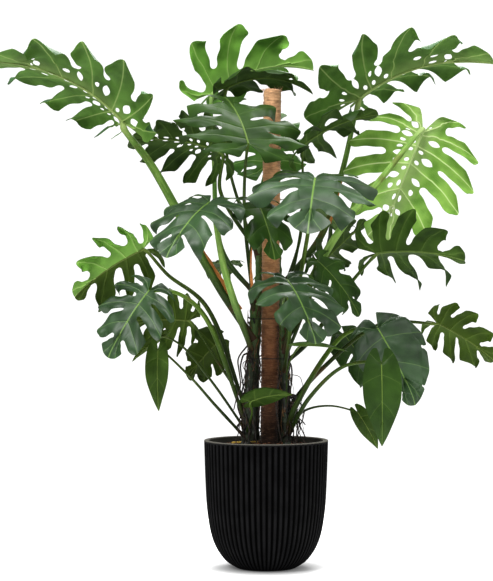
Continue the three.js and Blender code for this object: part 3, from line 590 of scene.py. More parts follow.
def along_split(line, t, side):
    """One side of a split: a bowed line, moved aside where the split is open or where a hole is."""
    (ax, ay), (bx, by) = line["start"], line["end"]
    chord = math.hypot(bx - ax, by - ay)
    cx, cy = (ax + bx) / 2 - 0.07 * chord, (ay + by) / 2
    half = np.zeros_like(t)
    if not line["edge"]:
        hole = (t > HOLE[0] + 1e-6) & (t < HOLE[2] - 1e-6)
        half[hole] = line["hole"] * np.sin(np.pi * (t[hole] - HOLE[0]) / (HOLE[2] - HOLE[0])) ** 0.75
        slot = t > line["open"] + 1e-6
        x = (t[slot] - line["open"]) / (1 - line["open"])
        round_start = np.sqrt(1 - (1 - np.clip(x / 0.16, 0, 1)) ** 2)
        half[slot] = line["gap"] * round_start * (0.62 + 0.38 * x + 0.1 * np.sin(11 * x + 40 * line["gap"]))
    x = ax * (1 - t) ** 2 + 2 * cx * t * (1 - t) + bx * t**2 + side * half * (by - ay) / chord
    y = ay * (1 - t) ** 2 + 2 * cy * t * (1 - t) + by * t**2 - side * half * (bx - ax) / chord
    return np.stack([x, y], -1)


def lobe_reach(open_from, u):
    """How far a strap reaches across its width: it ends in a blunt round tip."""
    short = 1 - open_from
    return 1 + 0.1 * short * (1 - u**2) - short * (0.24 * ((1 - u) / 2) ** 3 + 0.06 * ((1 + u) / 2) ** 4)


print("rows on a strap with holes:", len(line_rows(FRETTED, 0.5)), "and without:", len(line_rows(SPLIT, 0.5)))

# %% [markdown]
# ## From the flat heart to a hanging blade
#
# A real blade is never flat: the midrib droops, the two halves fold up from it and arch down again, and
# every strap sags and twists a little on its own. All of that is one formula from the flat place to the
# real one. On top of it come the small forms that a CAD leaf leaves out: the blade swells between its
# veins, the veins sink into the upper face and stand out underneath, and free straps roll their edges
# down and ripple.

# %% Placing a blade
def blade_axes(leaf):
    """The ways along the midrib, across it and out of the upper face."""
    compass, rise = [math.radians(a) for a in leaf["aim"]]
    ahead, up = np.array([math.cos(compass), math.sin(compass), 0]), np.array([0, 0, 1])
    along = math.cos(rise) * ahead + math.sin(rise) * up
    level = math.cos(rise) * up - math.sin(rise) * ahead
    roll = math.radians(leaf["roll"])
    face = level * math.cos(roll) + np.cross(along, level) * math.sin(roll)
    return along, np.cross(face, along), face


def place_blade(leaf, along, out, sign, lift=0, sag=0):
    """From shares on the flat heart to metres on the plant."""
    bend, fold = math.radians(leaf["droop"]), math.radians(leaf.get("fold", 12))
    curl = math.radians(leaf["arch"]) / 0.5
    along, out, lift, sag = [np.asarray(v, float) for v in (along, out, lift, sag)]
    turn = fold - curl * out * leaf.get("wide", leaf["kind"]["wide"])
    off = (math.sin(fold) - np.sin(turn)) / curl
    up = (np.cos(turn) - math.cos(fold)) / curl
    rise = up + lift * np.cos(turn)
    x = np.sin(bend * along) / bend + np.sin(bend * along) * rise
    y = sign * (off - lift * np.sin(turn))
    z = (np.cos(bend * along) - 1) / bend + np.cos(bend * along) * rise
    way, side, face = blade_axes(leaf)
    size = leaf["length"] * MM
    offset = x[..., None] * way + y[..., None] * side + z[..., None] * face
    spot = np.array(leaf["joint"]) * MM + size * offset
    spot[..., 2] -= size * sag
    return spot


print("joint of the first leaf", place_blade(LEAVES[0], 0, 0, 1).round(3))

# %% [markdown]
# Old leaves also have a few small round holes beside their side veins. They would be dear as rows and
# columns of their own, so a hole takes a block of the strap's cells: its border is pulled into a circle
# and the cells inside it go.

# %% Small round holes
BESIDE_VEIN = (2, 10)
NEAR_RIB, FURTHER_OUT = (2, 6), (9, 13)
LIKELY_NEAR, LIKELY_FAR = 0.65, 0.4


def small_holes(spot, strap, draw):
    """Opens a few round holes in a strap's grid: returns the cells that go, after rounding their border."""
    gone = np.zeros((spot.shape[0] - 1, spot.shape[1] - 1), bool)
    for left in BESIDE_VEIN:
        for (low, high), likely in ((NEAR_RIB, LIKELY_NEAR if strap > 1 else 0), (FURTHER_OUT, LIKELY_FAR)):
            if draw() > likely:
                continue
            patch = spot[low:high + 1, left:left + 3]
            y = np.linspace(-1, 1, high - low + 1)[:, None]
            x = np.array([-1.0, 0.0, 1.0])[None, :]
            round_off = np.maximum(abs(x), abs(y)) / np.maximum(np.hypot(x, y), 0.5)
            middle = patch.mean((0, 1))
            patch[:] = middle + (patch - middle) * round_off[..., None]
            gone[low:high, left:left + 2] = True
    return gone


print("a hole takes", (NEAR_RIB[1] - NEAR_RIB[0]) * 2, "cells")

# %% One strap on the flat heart
COLUMNS = np.array([-1, -0.82, -0.62, -0.42, -0.24, -0.1, -0.04, 0, 0.04, 0.1, 0.24, 0.42, 0.62, 0.82, 1])
TIP = 1.02


def flat_strap(leaf, lines, j, pinch):
    """A strap's spots on the heart, its rows t, how far across each spot is, its free share and its holes."""
    kind, line = leaf["kind"], lines[j]
    after = lines[j + 1] if j < kind["lobes"] else None
    entire = kind["cut"] == 0
    next_open = after["open"] if after else UNCUT
    open_from = max(line["open"], next_open)
    u = COLUMNS[None, :]
    reach = lobe_reach(1 if entire else open_from, u)

    def stretch(t):
        past = (t - open_from) * (reach - open_from) / (1 - open_from)
        return np.where(t <= open_from, t, open_from + past)

    near_t = stretch(line_rows(kind, line["open"])[:, None])
    far_t = stretch(line_rows(kind, next_open)[:, None])
    a = along_split(line, near_t, 1)
    if after:
        b = along_split(after, far_t, -1)
    else:
        rib = line["start"][0] + (TIP - line["start"][0]) * far_t
        b = np.stack([rib, np.zeros_like(rib)], -1)
    t = near_t + (far_t - near_t) * (u + 1) / 2
    inward = np.clip((t - open_from) / (1 - open_from), 0, 1) ** 5 * (0 if entire else 0.42)
    squeeze = u * (1 - inward * (1 if after else u < 0))
    share = (squeeze + 1) / 2
    spot = a + (b - a) * share[..., None]
    if entire:
        end = after["angle"] if after else 0
        ends = margin_point(line["angle"]), margin_point(end)
        round_out = margin_point(line["angle"] + (end - line["angle"]) * share)
        spot += (round_out - ends[0] - (ends[1] - ends[0]) * share[..., None]) * t[..., None] ** 2
        spot[..., 1] *= np.sqrt(1 - np.clip((spot[..., 0] - TAPER[0]) / TAPER[1], 0, 1) ** 2)
    gone = small_holes(spot, j, pinch) if kind["holes"] else np.zeros((len(t) - 1, len(COLUMNS) - 1), bool)
    across = squeeze * (np.linalg.norm(b - a, axis=-1) * leaf["length"] * MM) / 2
    free = np.clip(t - open_from, 0, None) if after else np.zeros_like(t)
    return spot, t, across, free, gone


print(len(COLUMNS), "columns across a strap")

# %% Relief of a strap
ROLL_DOWN, RIPPLE, SWELL = 0.14, 0.075, 0.0035
FURROW_DEPTH, FURROW_WIDTH = 0.0009, 0.0022


def strap_lift(leaf, t, across, free, moves):
    """How far each spot stands off the smooth blade, as a share of the leaf's length."""
    rise, twist, beat, shift = moves
    u = COLUMNS[None, :]
    inside = np.clip(t / 0.2, 0, 1) * np.clip((TIP - t) / 0.25, 0, 1)
    quilt = -SWELL * leaf.get("quilt", 1) * np.cos(np.pi * u) * inside
    sunk = np.exp(-((across / FURROW_WIDTH) ** 2)) * np.clip((1 - t) * 1.6, 0, 1)
    ripple = free * RIPPLE * np.sin(beat * t + shift) * np.abs(u) ** 1.5 * np.sign(u)
    furrow = -FURROW_DEPTH / (leaf["length"] * MM) * sunk
    return free * (rise + twist * u) - free * ROLL_DOWN * u**2 + ripple + quilt + furrow


print("a vein sinks in by", FURROW_DEPTH / MM, "mm")

# %% From grids to a thin shell
THICKNESS = 1.0
RIDGE_HEIGHT, RIDGE_WIDTH = 0.0011, 0.0013
UPPER, UNDER, LIT = 0, 1, 4


def weld_triangles(flat, quads, half):
    """Triangles with joined corners where straps meet, beside the same ones with each strap's own spots."""
    keys = np.round(flat * 2e4).astype(np.int64)
    _, first, weld = np.unique(keys, axis=0, return_index=True, return_inverse=True)
    maps = np.vstack([quads[:, [0, 1, 2]], quads[:, [0, 2, 3]]])
    corners = weld.ravel()[maps]
    real = (corners != np.roll(corners, 1, axis=1)).all(axis=1)
    used, joined = np.unique(corners[real], return_inverse=True)
    return first[used], joined.reshape(-1, 3), maps[real], np.tile(half, 2)[real]


def lower_face(leaf, upper, near, corners, normal):
    """The spots of the underside: a leaf's thickness below the upper face, and more under a vein."""
    normals = np.zeros_like(upper)
    for k in range(3):
        np.add.at(normals, corners[:, k], normal)
    normals /= np.linalg.norm(normals, axis=1)[:, None] + 1e-12
    tapering = np.clip(1 - near[:, 1] / (leaf["length"] * MM) * 2, 0, 1) ** 0.7
    ridge = np.exp(-((near[:, 0] / RIDGE_WIDTH) ** 2)) * tapering
    return upper - normals * (THICKNESS * MM + RIDGE_HEIGHT * ridge[:, None] * (leaf["length"] / 300) ** 0.5)


def thin_shell(leaf, flat, placed, near, far, quads, half):
    """A closed shell from a sheet: upper faces, lower faces and the edge between them."""
    first, corners, maps, half = weld_triangles(flat, quads, half)
    upper = placed[first]
    start, middle, end = [upper[corners[:, k]] for k in range(3)]
    normal = np.cross(middle - start, end - start)
    if (normal @ blade_axes(leaf)[2]).sum() < 0:
        maps, corners, normal = maps[:, ::-1], corners[:, ::-1], -normal
    count = len(upper)
    edges, edge_maps = [np.vstack([each[:, [k, (k + 1) % 3]] for k in range(3)]) for each in (corners, maps)]
    rim = ~np.isin(edges[:, 0] * count + edges[:, 1], edges[:, 1] * count + edges[:, 0])
    p, q = edges[rim].T
    faces = [(np.stack([p, p + count, q + count, q], 1), edge_maps[rim][:, [0, 0, 1, 1]], UNDER)]
    for sign in (1, -1):
        # A lit half gets the lit tone's finishes: painted light on that half of the blade.
        mine, lit = half == sign, LIT if leaf.get("lit", (0,))[0] == sign else 0
        faces += [(corners[mine], maps[mine], lit + UPPER),
                  (corners[mine][:, ::-1] + count, maps[mine][:, ::-1], lit + UNDER)]
    spots = np.vstack([upper, lower_face(leaf, upper, near[first], corners, normal)])
    return {"spots": spots, "near": near, "far": far, "faces": faces}


print("a blade is", THICKNESS, "mm thick")

# %% Growing a blade
def grow_blade(leaf):
    """The blade as one closed thin shell with maps of its straps and of its midrib."""
    size = leaf["length"] * MM
    draw, pinch = draws(leaf["seed"]).__next__, draws(leaf["seed"] + 500).__next__
    ripples = np.random.default_rng(leaf["seed"])
    grids, quads, halves, base = [], [], [], 0
    for half, sign in enumerate((1, -1)):
        base_size, cut_share = [leaf.get(name, (1, 1))[half] for name in ("base", "splits")]
        lines = split_lines(leaf["kind"], base_size, cut_share, draw)
        for j in range(len(lines)):
            rise, twist = 0.1 * (draw() - 0.5), 0.16 * (draw() - 0.5)
            sag = leaf.get("sag", 0.1) * (0.6 + 0.8 * draw())
            beat, shift = ripples.uniform(7, 12), ripples.uniform(0, 6)
            spot, t, across, free, gone = flat_strap(leaf, lines, j, pinch)
            lift = strap_lift(leaf, t, across, free, (rise, twist, beat, shift))
            along, out = spot[..., 0], spot[..., 1]
            placed = place_blade(leaf, along, out, sign, lift, free**2 * sag)
            flat = np.stack([along, out * sign], -1)
            near = np.stack([across, t * size * 0.5 + 0 * across], -1)
            grids.append([each.reshape(-1, each.shape[-1]) for each in (flat, placed, near, flat * size)])
            columns = t.shape[1]
            row, k = np.nonzero(~gone)
            corner = base + row * columns + k
            quad = np.stack([corner, corner + 1, corner + columns + 1, corner + columns], 1)
            quads.append(quad if sign > 0 else quad[:, ::-1])
            halves.append(np.full(len(quad), sign))
            base += t.size
    flat, placed, near, far = [np.vstack(each) for each in zip(*grids)]
    return thin_shell(leaf, flat, placed, near, far, np.vstack(quads), np.concatenate(halves))


trial = grow_blade(LEAVES[0])
print("first blade:", len(trial["spots"]), "points,", sum(len(f[0]) for f in trial["faces"]), "faces")

# %% [markdown]
# ## The petiole and the midrib
#
# The petiole of a Monstera is a thick smooth stalk. It clasps the vine with a broad base, thins upward,
# and ends in a short swollen knee with which the plant turns its blade to the light. It then runs on down
# the underside of the blade as the midrib, which is thick at the joint and fine at the tip. Both are rods
# here, and they overlap the blade, so no seam shows.

# %% Where a petiole runs
VINE_SHARES = np.linspace(0, 1, 201)


def vine_at(name, height):
    line = smooth_line(VINES[name]["line"], VINE_SHARES)
    found = int(np.argmax(line[:, 2] >= height)) if line[-1, 2] > height else len(line) - 1
    return line[found]


def petiole_thickness(leaf, share=0):
    """The radius of a petiole at a share of its length."""
    swell = (leaf.get("stout", 1) - 1) * np.minimum(1, share / 0.15) * (1 - share**3)
    return max(3.2, leaf["length"] * 0.019) * MM * (1 - 0.5 * share) * (1 + swell)


def petiole_line(leaf, share):
    """Spots and radii of a petiole, from inside the vine to inside the blade's joint."""
    buried = -(0.5 * petiole_thickness(leaf) + 0.5 * MM) / (leaf["length"] * MM)
    stops = [vine_at(leaf["vine"], leaf["start"]) * MM, *(np.array(p) * MM for p in leaf["via"]),
             place_blade(leaf, -0.02, 0, 1, 3 * buried), place_blade(leaf, 0.025, 0, 1, buried)]
    return smooth_line(stops, share), petiole_thickness(leaf, share)


print("first petiole leaves its vine at", (vine_at("left", LEAVES[0]["start"]) * MM).round(3))

# %% Petiole and midrib
STALK, RIB = 2, 3


def grow_petiole(leaf):
    thick, size = petiole_thickness(leaf), leaf["length"] * MM
    line, radii = petiole_line(leaf, np.linspace(0, 1, 60))
    along = way_along(line)
    left = along[-1] - along
    radii += thick * 0.8 * np.exp(-((along / 0.03) ** 2))
    radii += thick * 0.28 * np.exp(-(((left - 0.016) / 0.012) ** 2))
    t = np.linspace(0, 0.97, 36)
    rib_size = (0.5 * thick * (1 - t) ** 0.85 + 0.0005)
    spine = place_blade(leaf, t, 0 * t, 1, -(THICKNESS * MM * 0.8 + 0.25 * rib_size) / size)
    return [rod(line, radii, 14, STALK), rod(spine, rib_size, 8, RIB)]


print("petiole of the first leaf:", len(grow_petiole(LEAVES[0])[0]["spots"]), "points")

# %% [markdown]
# ## Leaf finishes
#
# The upper face has a thin wax: deep green with pale veins that sink in, and the broad old leaves shine
# more than the young ones. The underside is lighter and duller, and its veins are thick and pale. Both
# faces are painted a little lighter beside each side vein, a painted light for the bulges between them,
# and the underside is painted yellower near the midrib, a painted highlight. Both get their veins from
# the maps that the blade was grown with: `near` holds the distance from the strap's vein and the way along
# it, `far` the way along the midrib and the distance from it, all in metres. An image of a leaf would blur
# close up and would stretch over the straps; a mask made from a distance stays sharp at any size.

# %% Tones
# upper, under and stalk: from a dark to a light colour. wax: how strongly the upper face mirrors.
# gloss: its roughness. pale: how clearly the veins show.
TONES = {
    "holed": dict(upper=("#2c502a", "#466f3e"), under=("#36581b", "#638d3d"), stalk=("#47652a", "#6e8e42"),
                  vein="#b4c67e", wax=0.12, gloss=0.44, pale=1),
    "bright": dict(upper=("#305a1c", "#507e2c"), under=("#4c7a2c", "#7aac48"), stalk=("#456b2c", "#6c9445"),
                   vein="#aecb7c", wax=0.30, gloss=0.4, pale=1),
    "lime": dict(upper=("#5f8a2c", "#86ad45"), under=("#507d26", "#92ba58"), stalk=("#6f9645", "#98b962"),
                 vein="#d0e2a4", wax=0.34, gloss=0.42, pale=1.5),
    "dark": dict(upper=("#1c340e", "#35521c"), under=("#22380f", "#405c1f"), stalk=("#2a400f", "#506a24"),
                 vein="#768e48", wax=0.16, gloss=0.4, pale=0.35),
    "glossy": dict(upper=("#152c12", "#32532a"), under=("#2b4518", "#466425"), stalk=("#435e1a", "#6a8834"),
                   vein="#86a858", wax=0.55, gloss=0.46, pale=0.55),
    "olive": dict(upper=("#283c10", "#405a1c"), under=("#2e4110", "#465e1c"), stalk=("#283a0e", "#485c20"),
                  vein="#788a44", wax=0.16, gloss=0.44, pale=0.35),
    "mid": dict(upper=("#213710", "#35511b"), under=("#273d12", "#3a521c"), stalk=("#304813", "#56702a"),
                vein="#748a44", wax=0.18, gloss=0.42, pale=0.35),
}
UNDER_WAX, STALK_WAX = 0.12, 0.15
print(len(TONES), "tones")

# %% Blade finish
def blade_finish(tone, side):
    look, upper = TONES[tone], side == "upper"
    wax = look["wax"] if upper else UNDER_WAX
    material, shader, here = new_finish(f"{tone}_leaf_{side}", specular_ior_level=wax)
    near, far = skin_maps(here)
    beside, along, from_rib = abs(near.part("X")), near.part("Y"), abs(far.part("Y"))
    clouds, pucker, grain = here.noise(11, 3), here.noise(36, 0.5), here.noise(420)
    vein = 1 - beside.fade(0.0006, 0.0018 if upper else 0.0026)
    # Painted light: both faces are a little lighter beside each side vein.
    painted_vein_light = 1 - beside.fade(0.001, 0.011)
    rib = 1 - from_rib.fade(0.001, 0.0032)
    # Fine veins branch off at a slant, one about every 4 mm along a side vein.
    net = (along * 2.0 - beside * 0.85) / 0.0075
    net = abs(net.maths("FRACT", net) - 0.5)
    net = (1 - net.fade(0.03, 0.12)) * beside.fade(0.002, 0.006)
    light = clouds.fade(0.3, 0.7) * 0.6 + pucker.fade(0.3, 0.7) * 0.25 + grain * 0.1
    base = (light + painted_vein_light * (0.1 if upper else 0.22)).blend(*look[side])
    if not upper:
        # Painted highlight: the underside is yellower near the midrib.
        base = base.tint(look["vein"], (1 - from_rib.fade(0.0, 0.06)) * (0.2 * look["pale"]))
    base = base.tint(look["vein"], net * (0.12 * look["pale"]))
    base = base.tint(look["vein"], vein * ((0.4 if upper else 0.5) * look["pale"]))
    base = base.tint(look["vein"], rib * (0.3 + 0.4 * look["pale"]))
    rough = clouds * 0.16 + (look["gloss"] - 0.06 if upper else 0.52)
    cover(shader, base, rough, grain * 0.03 + pucker * 0.8, 0.7, 0.0014)
    return material


print("an underside mirrors", UNDER_WAX, "of the usual share")

# %% Stalk and midrib finish
def stalk_finish(tone, midrib):
    look, ending = TONES[tone], "rib" if midrib else "stalk"
    material, shader, here = new_finish(f"{tone}_leaf_{ending}", specular_ior_level=STALK_WAX)
    near, far = skin_maps(here)
    share = far.part("X")
    streaks, flecks = near.stretch((9, 14, 1)).noise(1, 4), here.noise(330)
    base = streaks.fade(0.3, 0.75).blend(*look["stalk"])
    base = base.tint("#c9d09a", flecks.fade(0.62, 0.72) * 0.25)
    if midrib:
        base = base.tint(look["vein"], 0.55)
    else:
        # Painted shade: the stalk is darker low down, under the leaves; pale tones' stalks are lit from
        # halfway up, the others only near the top.
        lit_from = 0.5 if look["pale"] >= 1 else 0.85
        base = base.tint("#18260c", (1 - share.fade(0.15, lit_from)) * 0.8)
        base = base.tint("#5b3b22", here.noise(16, 3).fade(0.58, 0.72) * 0.45)
        base = base.tint("#3c2a1c", 1 - share.fade(0.0, 0.14))
        base = base.tint(look["vein"], share.fade(0.9, 1.0) * 0.6)
    cover(shader, base, streaks * 0.2 + 0.34, streaks + flecks * 0.3, 0.4, 0.0006)
    return material


LEAF_FINISHES = {tone: [blade_finish(tone, "upper"), blade_finish(tone, "under"), stalk_finish(tone, False),
                        stalk_finish(tone, True)] for tone in TONES}
print(len(LEAF_FINISHES) * 4, "leaf finishes")

# %% Thirty-two leaves
for leaf in LEAVES:
    finishes = list(LEAF_FINISHES[leaf["tone"]])
    if "stalk" in leaf:
        finishes[STALK] = LEAF_FINISHES[leaf["stalk"]][STALK]
    # A lit half's painted-light finishes follow the usual four.
    if "lit" in leaf:
        finishes += LEAF_FINISHES[leaf["lit"][1]][:2]
    make_piece("grown_leaf_" + leaf["name"], [grow_blade(leaf), *grow_petiole(leaf)], finishes,
               "leaf_" + leaf["name"])

# %% [markdown]
# ## Vines and their aerial roots
#
# The vines are as thick as a thumb, nearly black below and green above, with a ring at every node where
# an old leaf fell off. Aerial roots grow from the nodes, hang down and dive into the mix: a few thick ones,
# and a tangle of thin ones near the foot. Dry husks stand up from the bark. The thick roots follow the CAD
# routes; the thin ones and the husks wander by seed.

# %% Vine, root and husk finishes
def vine_finish():
    material, shader, here = new_finish("vine_bark", coat_weight=0.05)
    patches = here.noise(38, 4)
    streaks = skin_maps(here)[0].stretch((10, 60, 1)).noise(1, 3)
    base = patches.fade(0.35, 0.65).blend("#10130b", "#24301a")
    base = base.tint("#3d2a1c", streaks.fade(0.55, 0.75) * 0.6)
    base = base.tint("#45622a", here.part("Z").fade(0.5, 0.72) * 0.85)
    cover(shader, base, patches * 0.3 + 0.4, streaks + patches, 0.6, 0.001)
    return material


def root_finish(name, dark, light):
    material, shader, here = new_finish(name)
    patches = here.noise(60, 3)
    cover(shader, patches.fade(0.4, 0.7).blend(dark, light), patches * 0.2 + 0.6, patches, 0.5, 0.0006)
    return material


VINE_BARK = vine_finish()
ROOT_SKIN = root_finish("aerial_root", "#120d09", "#3a281a")
HUSK = root_finish("dry_husk", "#3f2a18", "#7d5a34")
print("vine, root and husk finishes")

# %% Routes of the thick roots
# The vine, the height at which the root leaves it, the points on its way and its radius.
ROOTS = [
    ("left", 640, [(-78, -50, 590), (-72, -58, 520), (-92, -62, 450)], 2.6),
    ("left", 520, [(-48, -66, 470), (-36, -72, 410), (-26, -80, 356)], 3),
    ("right", 500, [(92, -40, 470), (106, -48, 440), (92, -58, 400)], 2.6),
    ("right", 560, [(34, -52, 520), (28, -56, 450), (42, -62, 360)], 2.8),
    ("rear_left", 560, [(-44, 74, 500), (-34, 84, 430), (-44, 88, 356)], 2.8),
    ("rear_right", 560, [(52, 66, 510), (46, 78, 450), (58, 84, 360)], 2.6),
]
THIN_ROOTS, FREE_ROOTS = 26, 5
HUSKS = 60
print(len(ROOTS), "thick roots,", THIN_ROOTS, "thin ones and", HUSKS, "husks on each vine")

# %% Vine
VINE_SIDES = 20


def ringed_vine(name, wander):
    vine = VINES[name]
    share = np.linspace(0, 1, 220)
    line = smooth_line(vine["line"], share) * MM
    for axis in (0, 1):
        beat, shift = wander.uniform(9, 13), wander.uniform(0, 6)
        line[:, axis] += 0.0025 * np.sin(beat * share + shift) * np.sin(np.pi * share)
    radii = (vine["thick"] + (VINE_TIP - vine["thick"]) * share) * MM
    node = 0.03
    while node < 1:
        scar = (share - node) / 0.011
        radii += 0.0016 * np.exp(-(scar**2)) - 0.0007 * np.exp(-((scar - 1.8) ** 2))
        node += wander.uniform(0.055, 0.085)
    turn = np.arange(VINE_SIDES) * 2 * np.pi / VINE_SIDES
    knobs = 1 + 0.05 * np.sin(3 * turn)[None, :] * np.sin(40 * share)[:, None]
    return rod(line, radii, VINE_SIDES, relief=knobs)


def thick_root(name, start, path, thick, wander):
    t = np.linspace(0, 1, 40)
    route = smooth_line([vine_at(name, start), *path], t) * MM
    route += 0.0012 * np.sin(np.outer(t, [23, 31, 17]) + wander.uniform(0, 6, 3)) * t[:, None]
    return rod(route, thick * MM * (1 - 0.4 * t), 8, finish=1)


def thin_root(name, close, wander):
    """A root that wanders down beside its vine; the close ones are thicker and keep near it."""
    start = wander.uniform(400, 640)
    spot = vine_at(name, start)
    outward = np.array([spot[0], spot[1], 0]) / np.hypot(spot[0], spot[1])
    outward = outward + np.array([wander.normal(0, 0.5), wander.normal(0, 0.5), 0])
    fall = max(start - wander.uniform(60, 150), 352) - start
    far_out = 0.55 if close else 1
    stops = [spot, spot + outward * wander.uniform(20, 34) * far_out + (0, 0, -8),
             spot + outward * wander.uniform(22, 44) * far_out + (*wander.normal(0, 8, 2), fall / 2),
             spot + outward * wander.uniform(16, 50) * far_out + (*wander.normal(0, 12, 2), fall)]
    t = np.linspace(0, 1, 26)
    route = smooth_line(stops, t) * MM
    route += 0.0018 * np.sin(np.outer(t, wander.uniform(10, 30, 3)) + wander.uniform(0, 6, 3)) * t[:, None]
    thick = wander.uniform(1.6, 3.2) if close else wander.uniform(0.8, 1.5)
    return rod(route, thick * MM * (1 - 0.5 * t), 7, finish=1)


def husk(name, wander):
    spot = vine_at(name, wander.uniform(370, 720))
    turn = wander.uniform(0, 2 * np.pi)
    outward = np.array([np.cos(turn), np.sin(turn), 0])
    stops = [spot + outward * 8, spot + outward * 14 + (0, 0, 6),
             spot + outward * wander.uniform(13, 17) + (*wander.normal(0, 2, 2), wander.uniform(20, 42))]
    t = np.linspace(0, 1, 9)
    return rod(smooth_line(stops, t) * MM, wander.uniform(1.2, 2.6) * MM * (1.05 - t), 6, finish=2)


for name in VINES:
    wander = np.random.default_rng(len(name) * 7)
    shells = [ringed_vine(name, wander)]
    shells += [thick_root(name, *root[1:], wander) for root in ROOTS if root[0] == name]
    shells += [thin_root(name, number >= FREE_ROOTS, wander) for number in range(THIN_ROOTS)]
    shells += [husk(name, wander) for _ in range(HUSKS)]
    make_piece("ringed_vine_" + name, shells, [VINE_BARK, ROOT_SKIN, HUSK], "stem_" + name)

# %% [markdown]
# ## The coir pole
#
# The pole is a plastic or wooden rod inside a long sleeve of coconut fibre. The fibre is wound round and
# round, so the sleeve has soft bands, and loose ends stick out of it everywhere. Its brown is painted light
# and shade by height: sandy and lit at the top, red-brown and near black in the shade low down. A bump
# alone would leave the outline as straight as a pipe, so the bands and lumps move the mesh, and a few
# hundred loose fibres are real rods.

# %% Coir finish
# The coir's brown by height, with painted light at the top and painted shade low down.
COIR_LIGHT_AND_SHADE = [(0.0, "#24150d"), (0.16, "#59381f"), (0.26, "#85573a"), (0.6, "#c39264"), (1.0, "#cda27a")]
COIR_HEIGHTS = (0.35, 1.35)


def coir_finish():
    material, shader, here = new_finish("wound_coir", sheen_weight=0.15, specular_ior_level=0.2)
    fibres, lumps = here.stretch((40, 40, 620)).noise(1, 5, 0.7), here.noise(45, 3)
    low, high = COIR_HEIGHTS
    # Painted light and shade: the colour runs from near black low down to sandy at the top.
    up = (here.part("Z") + lumps * 0.12 - 0.06 - low) / (high - low)
    base = up.node("ShaderNodeValToRGB", {"stops": COIR_LIGHT_AND_SHADE}, {0: up})
    base = base.tint("#24130c", fibres.fade(0.55, 0.35) * 0.5)
    base = base.tint("#3a2214", lumps.fade(0.5, 0.36) * 0.25)
    base = base.tint("#dcb086", fibres.fade(0.56, 0.7) * 0.5)
    cover(shader, base, fibres * 0.2 + 0.75, fibres + lumps * 0.5, 0.9, 0.002)
    return material


COIR = coir_finish()
print("coir finish from", COIR_HEIGHTS[0], "to", COIR_HEIGHTS[1], "m")

# %% Where the pole stands
POLE = dict(radius=25, bottom=149, top=1349, x=7, lean=0.5)


def pole_spot(radius, turn, height):
    """A spot round the leaning pole, in metres."""
    lean = math.radians(POLE["lean"])
    x, y, z = radius * np.cos(turn), radius * np.sin(turn), height - POLE["bottom"]
    return np.stack([POLE["x"] + x * math.cos(lean) + z * math.sin(lean), y,
                     POLE["bottom"] + z * math.cos(lean) - x * math.sin(lean)], -1) * MM


lumps_at = np.vectorize(lambda x, y, z: noise.noise((x, y, z)))
print("top of the pole at", pole_spot(0, 0, POLE["top"]).round(3))

# %% Wound sleeve
POLE_SIDES, POLE_ROWS = 72, 420
WINDING = 9.5
CAP_RADII = [16, 13, 10, 7, 4, 2, 0.6]


def grow_pole():
    height = np.linspace(POLE["bottom"], POLE["top"] - 1, POLE_ROWS)
    height = np.concatenate([height, np.full(len(CAP_RADII), POLE["top"])])
    over = np.clip((height - (POLE["top"] - 12)) / 12, 0, 1)
    radius = np.concatenate([POLE["radius"] - 7 * over[:POLE_ROWS] ** 2.5, CAP_RADII])
    turn = 2 * np.pi * np.arange(POLE_SIDES) / POLE_SIDES
    grid_h, grid_t = np.meshgrid(height, turn, indexing="ij")
    grid_r = np.repeat(radius[:, None], POLE_SIDES, 1)
    band = np.abs((grid_h / WINDING + grid_t / (2 * np.pi)) % 1 - 0.5) * 2
    x, y = grid_r * np.cos(grid_t), grid_r * np.sin(grid_t)
    lump, fine = lumps_at(x / 14, y / 14, grid_h / 9), lumps_at(x / 7, y / 7, grid_h / 2.2 + 50)
    sleeve = (np.arange(len(height)) < POLE_ROWS)[:, None]
    grid_r = grid_r + np.where(sleeve, -1.0 * band**3 + 1.5 * lump + 0.8 * fine, 0)
    grid_h = grid_h + np.where(sleeve, 0, 2.0 * fine + 1.5 * lump)
    return closed_rings(pole_spot(grid_r, grid_t, grid_h))


def loose_fibres(count):
    hairs, wander = [], np.random.default_rng(5)
    for _ in range(count):
        turn, high = wander.uniform(0, 2 * np.pi), wander.uniform(360, POLE["top"] - 2)
        reach, swing, rise = wander.uniform(1.5, 8), wander.uniform(-0.5, 0.5), wander.normal(0, 5)
        if wander.random() < 0.25:
            high, rise = POLE["top"] - wander.uniform(0, 8), abs(rise)
        t = np.linspace(0, 1, 5)
        route = pole_spot(23.5 + reach * np.sin(t * 2.2), turn + swing * t, high + rise * t**2)
        hairs.append(rod(route, np.linspace(0.32, 0.12, 5) * MM, 3))
    return hairs


make_piece("coir_pole", [grow_pole(), *loose_fibres(520)], [COIR], "coir_wrap", crease=180)

# %% [markdown]
# ## The ribbed pot
#
# The pot is a light cement or resin bowl, matt black, cast with rounded ribs from the rim to the foot and
# a plain thin lip. Each rib is round and meets the next in a sharp groove: the square of the distance from
# its crest gives that shape, and a painted shade makes the grooves near black. The profile is turned like
# clay on a wheel. The top of the lip and the wall inside it are painted a lighter grey, a painted light
# where light from above falls on them.

# %% Pot finish
INNER_RADIUS = (0.163, 0.165)
LIP_HEIGHT = (0.357, 0.3595)


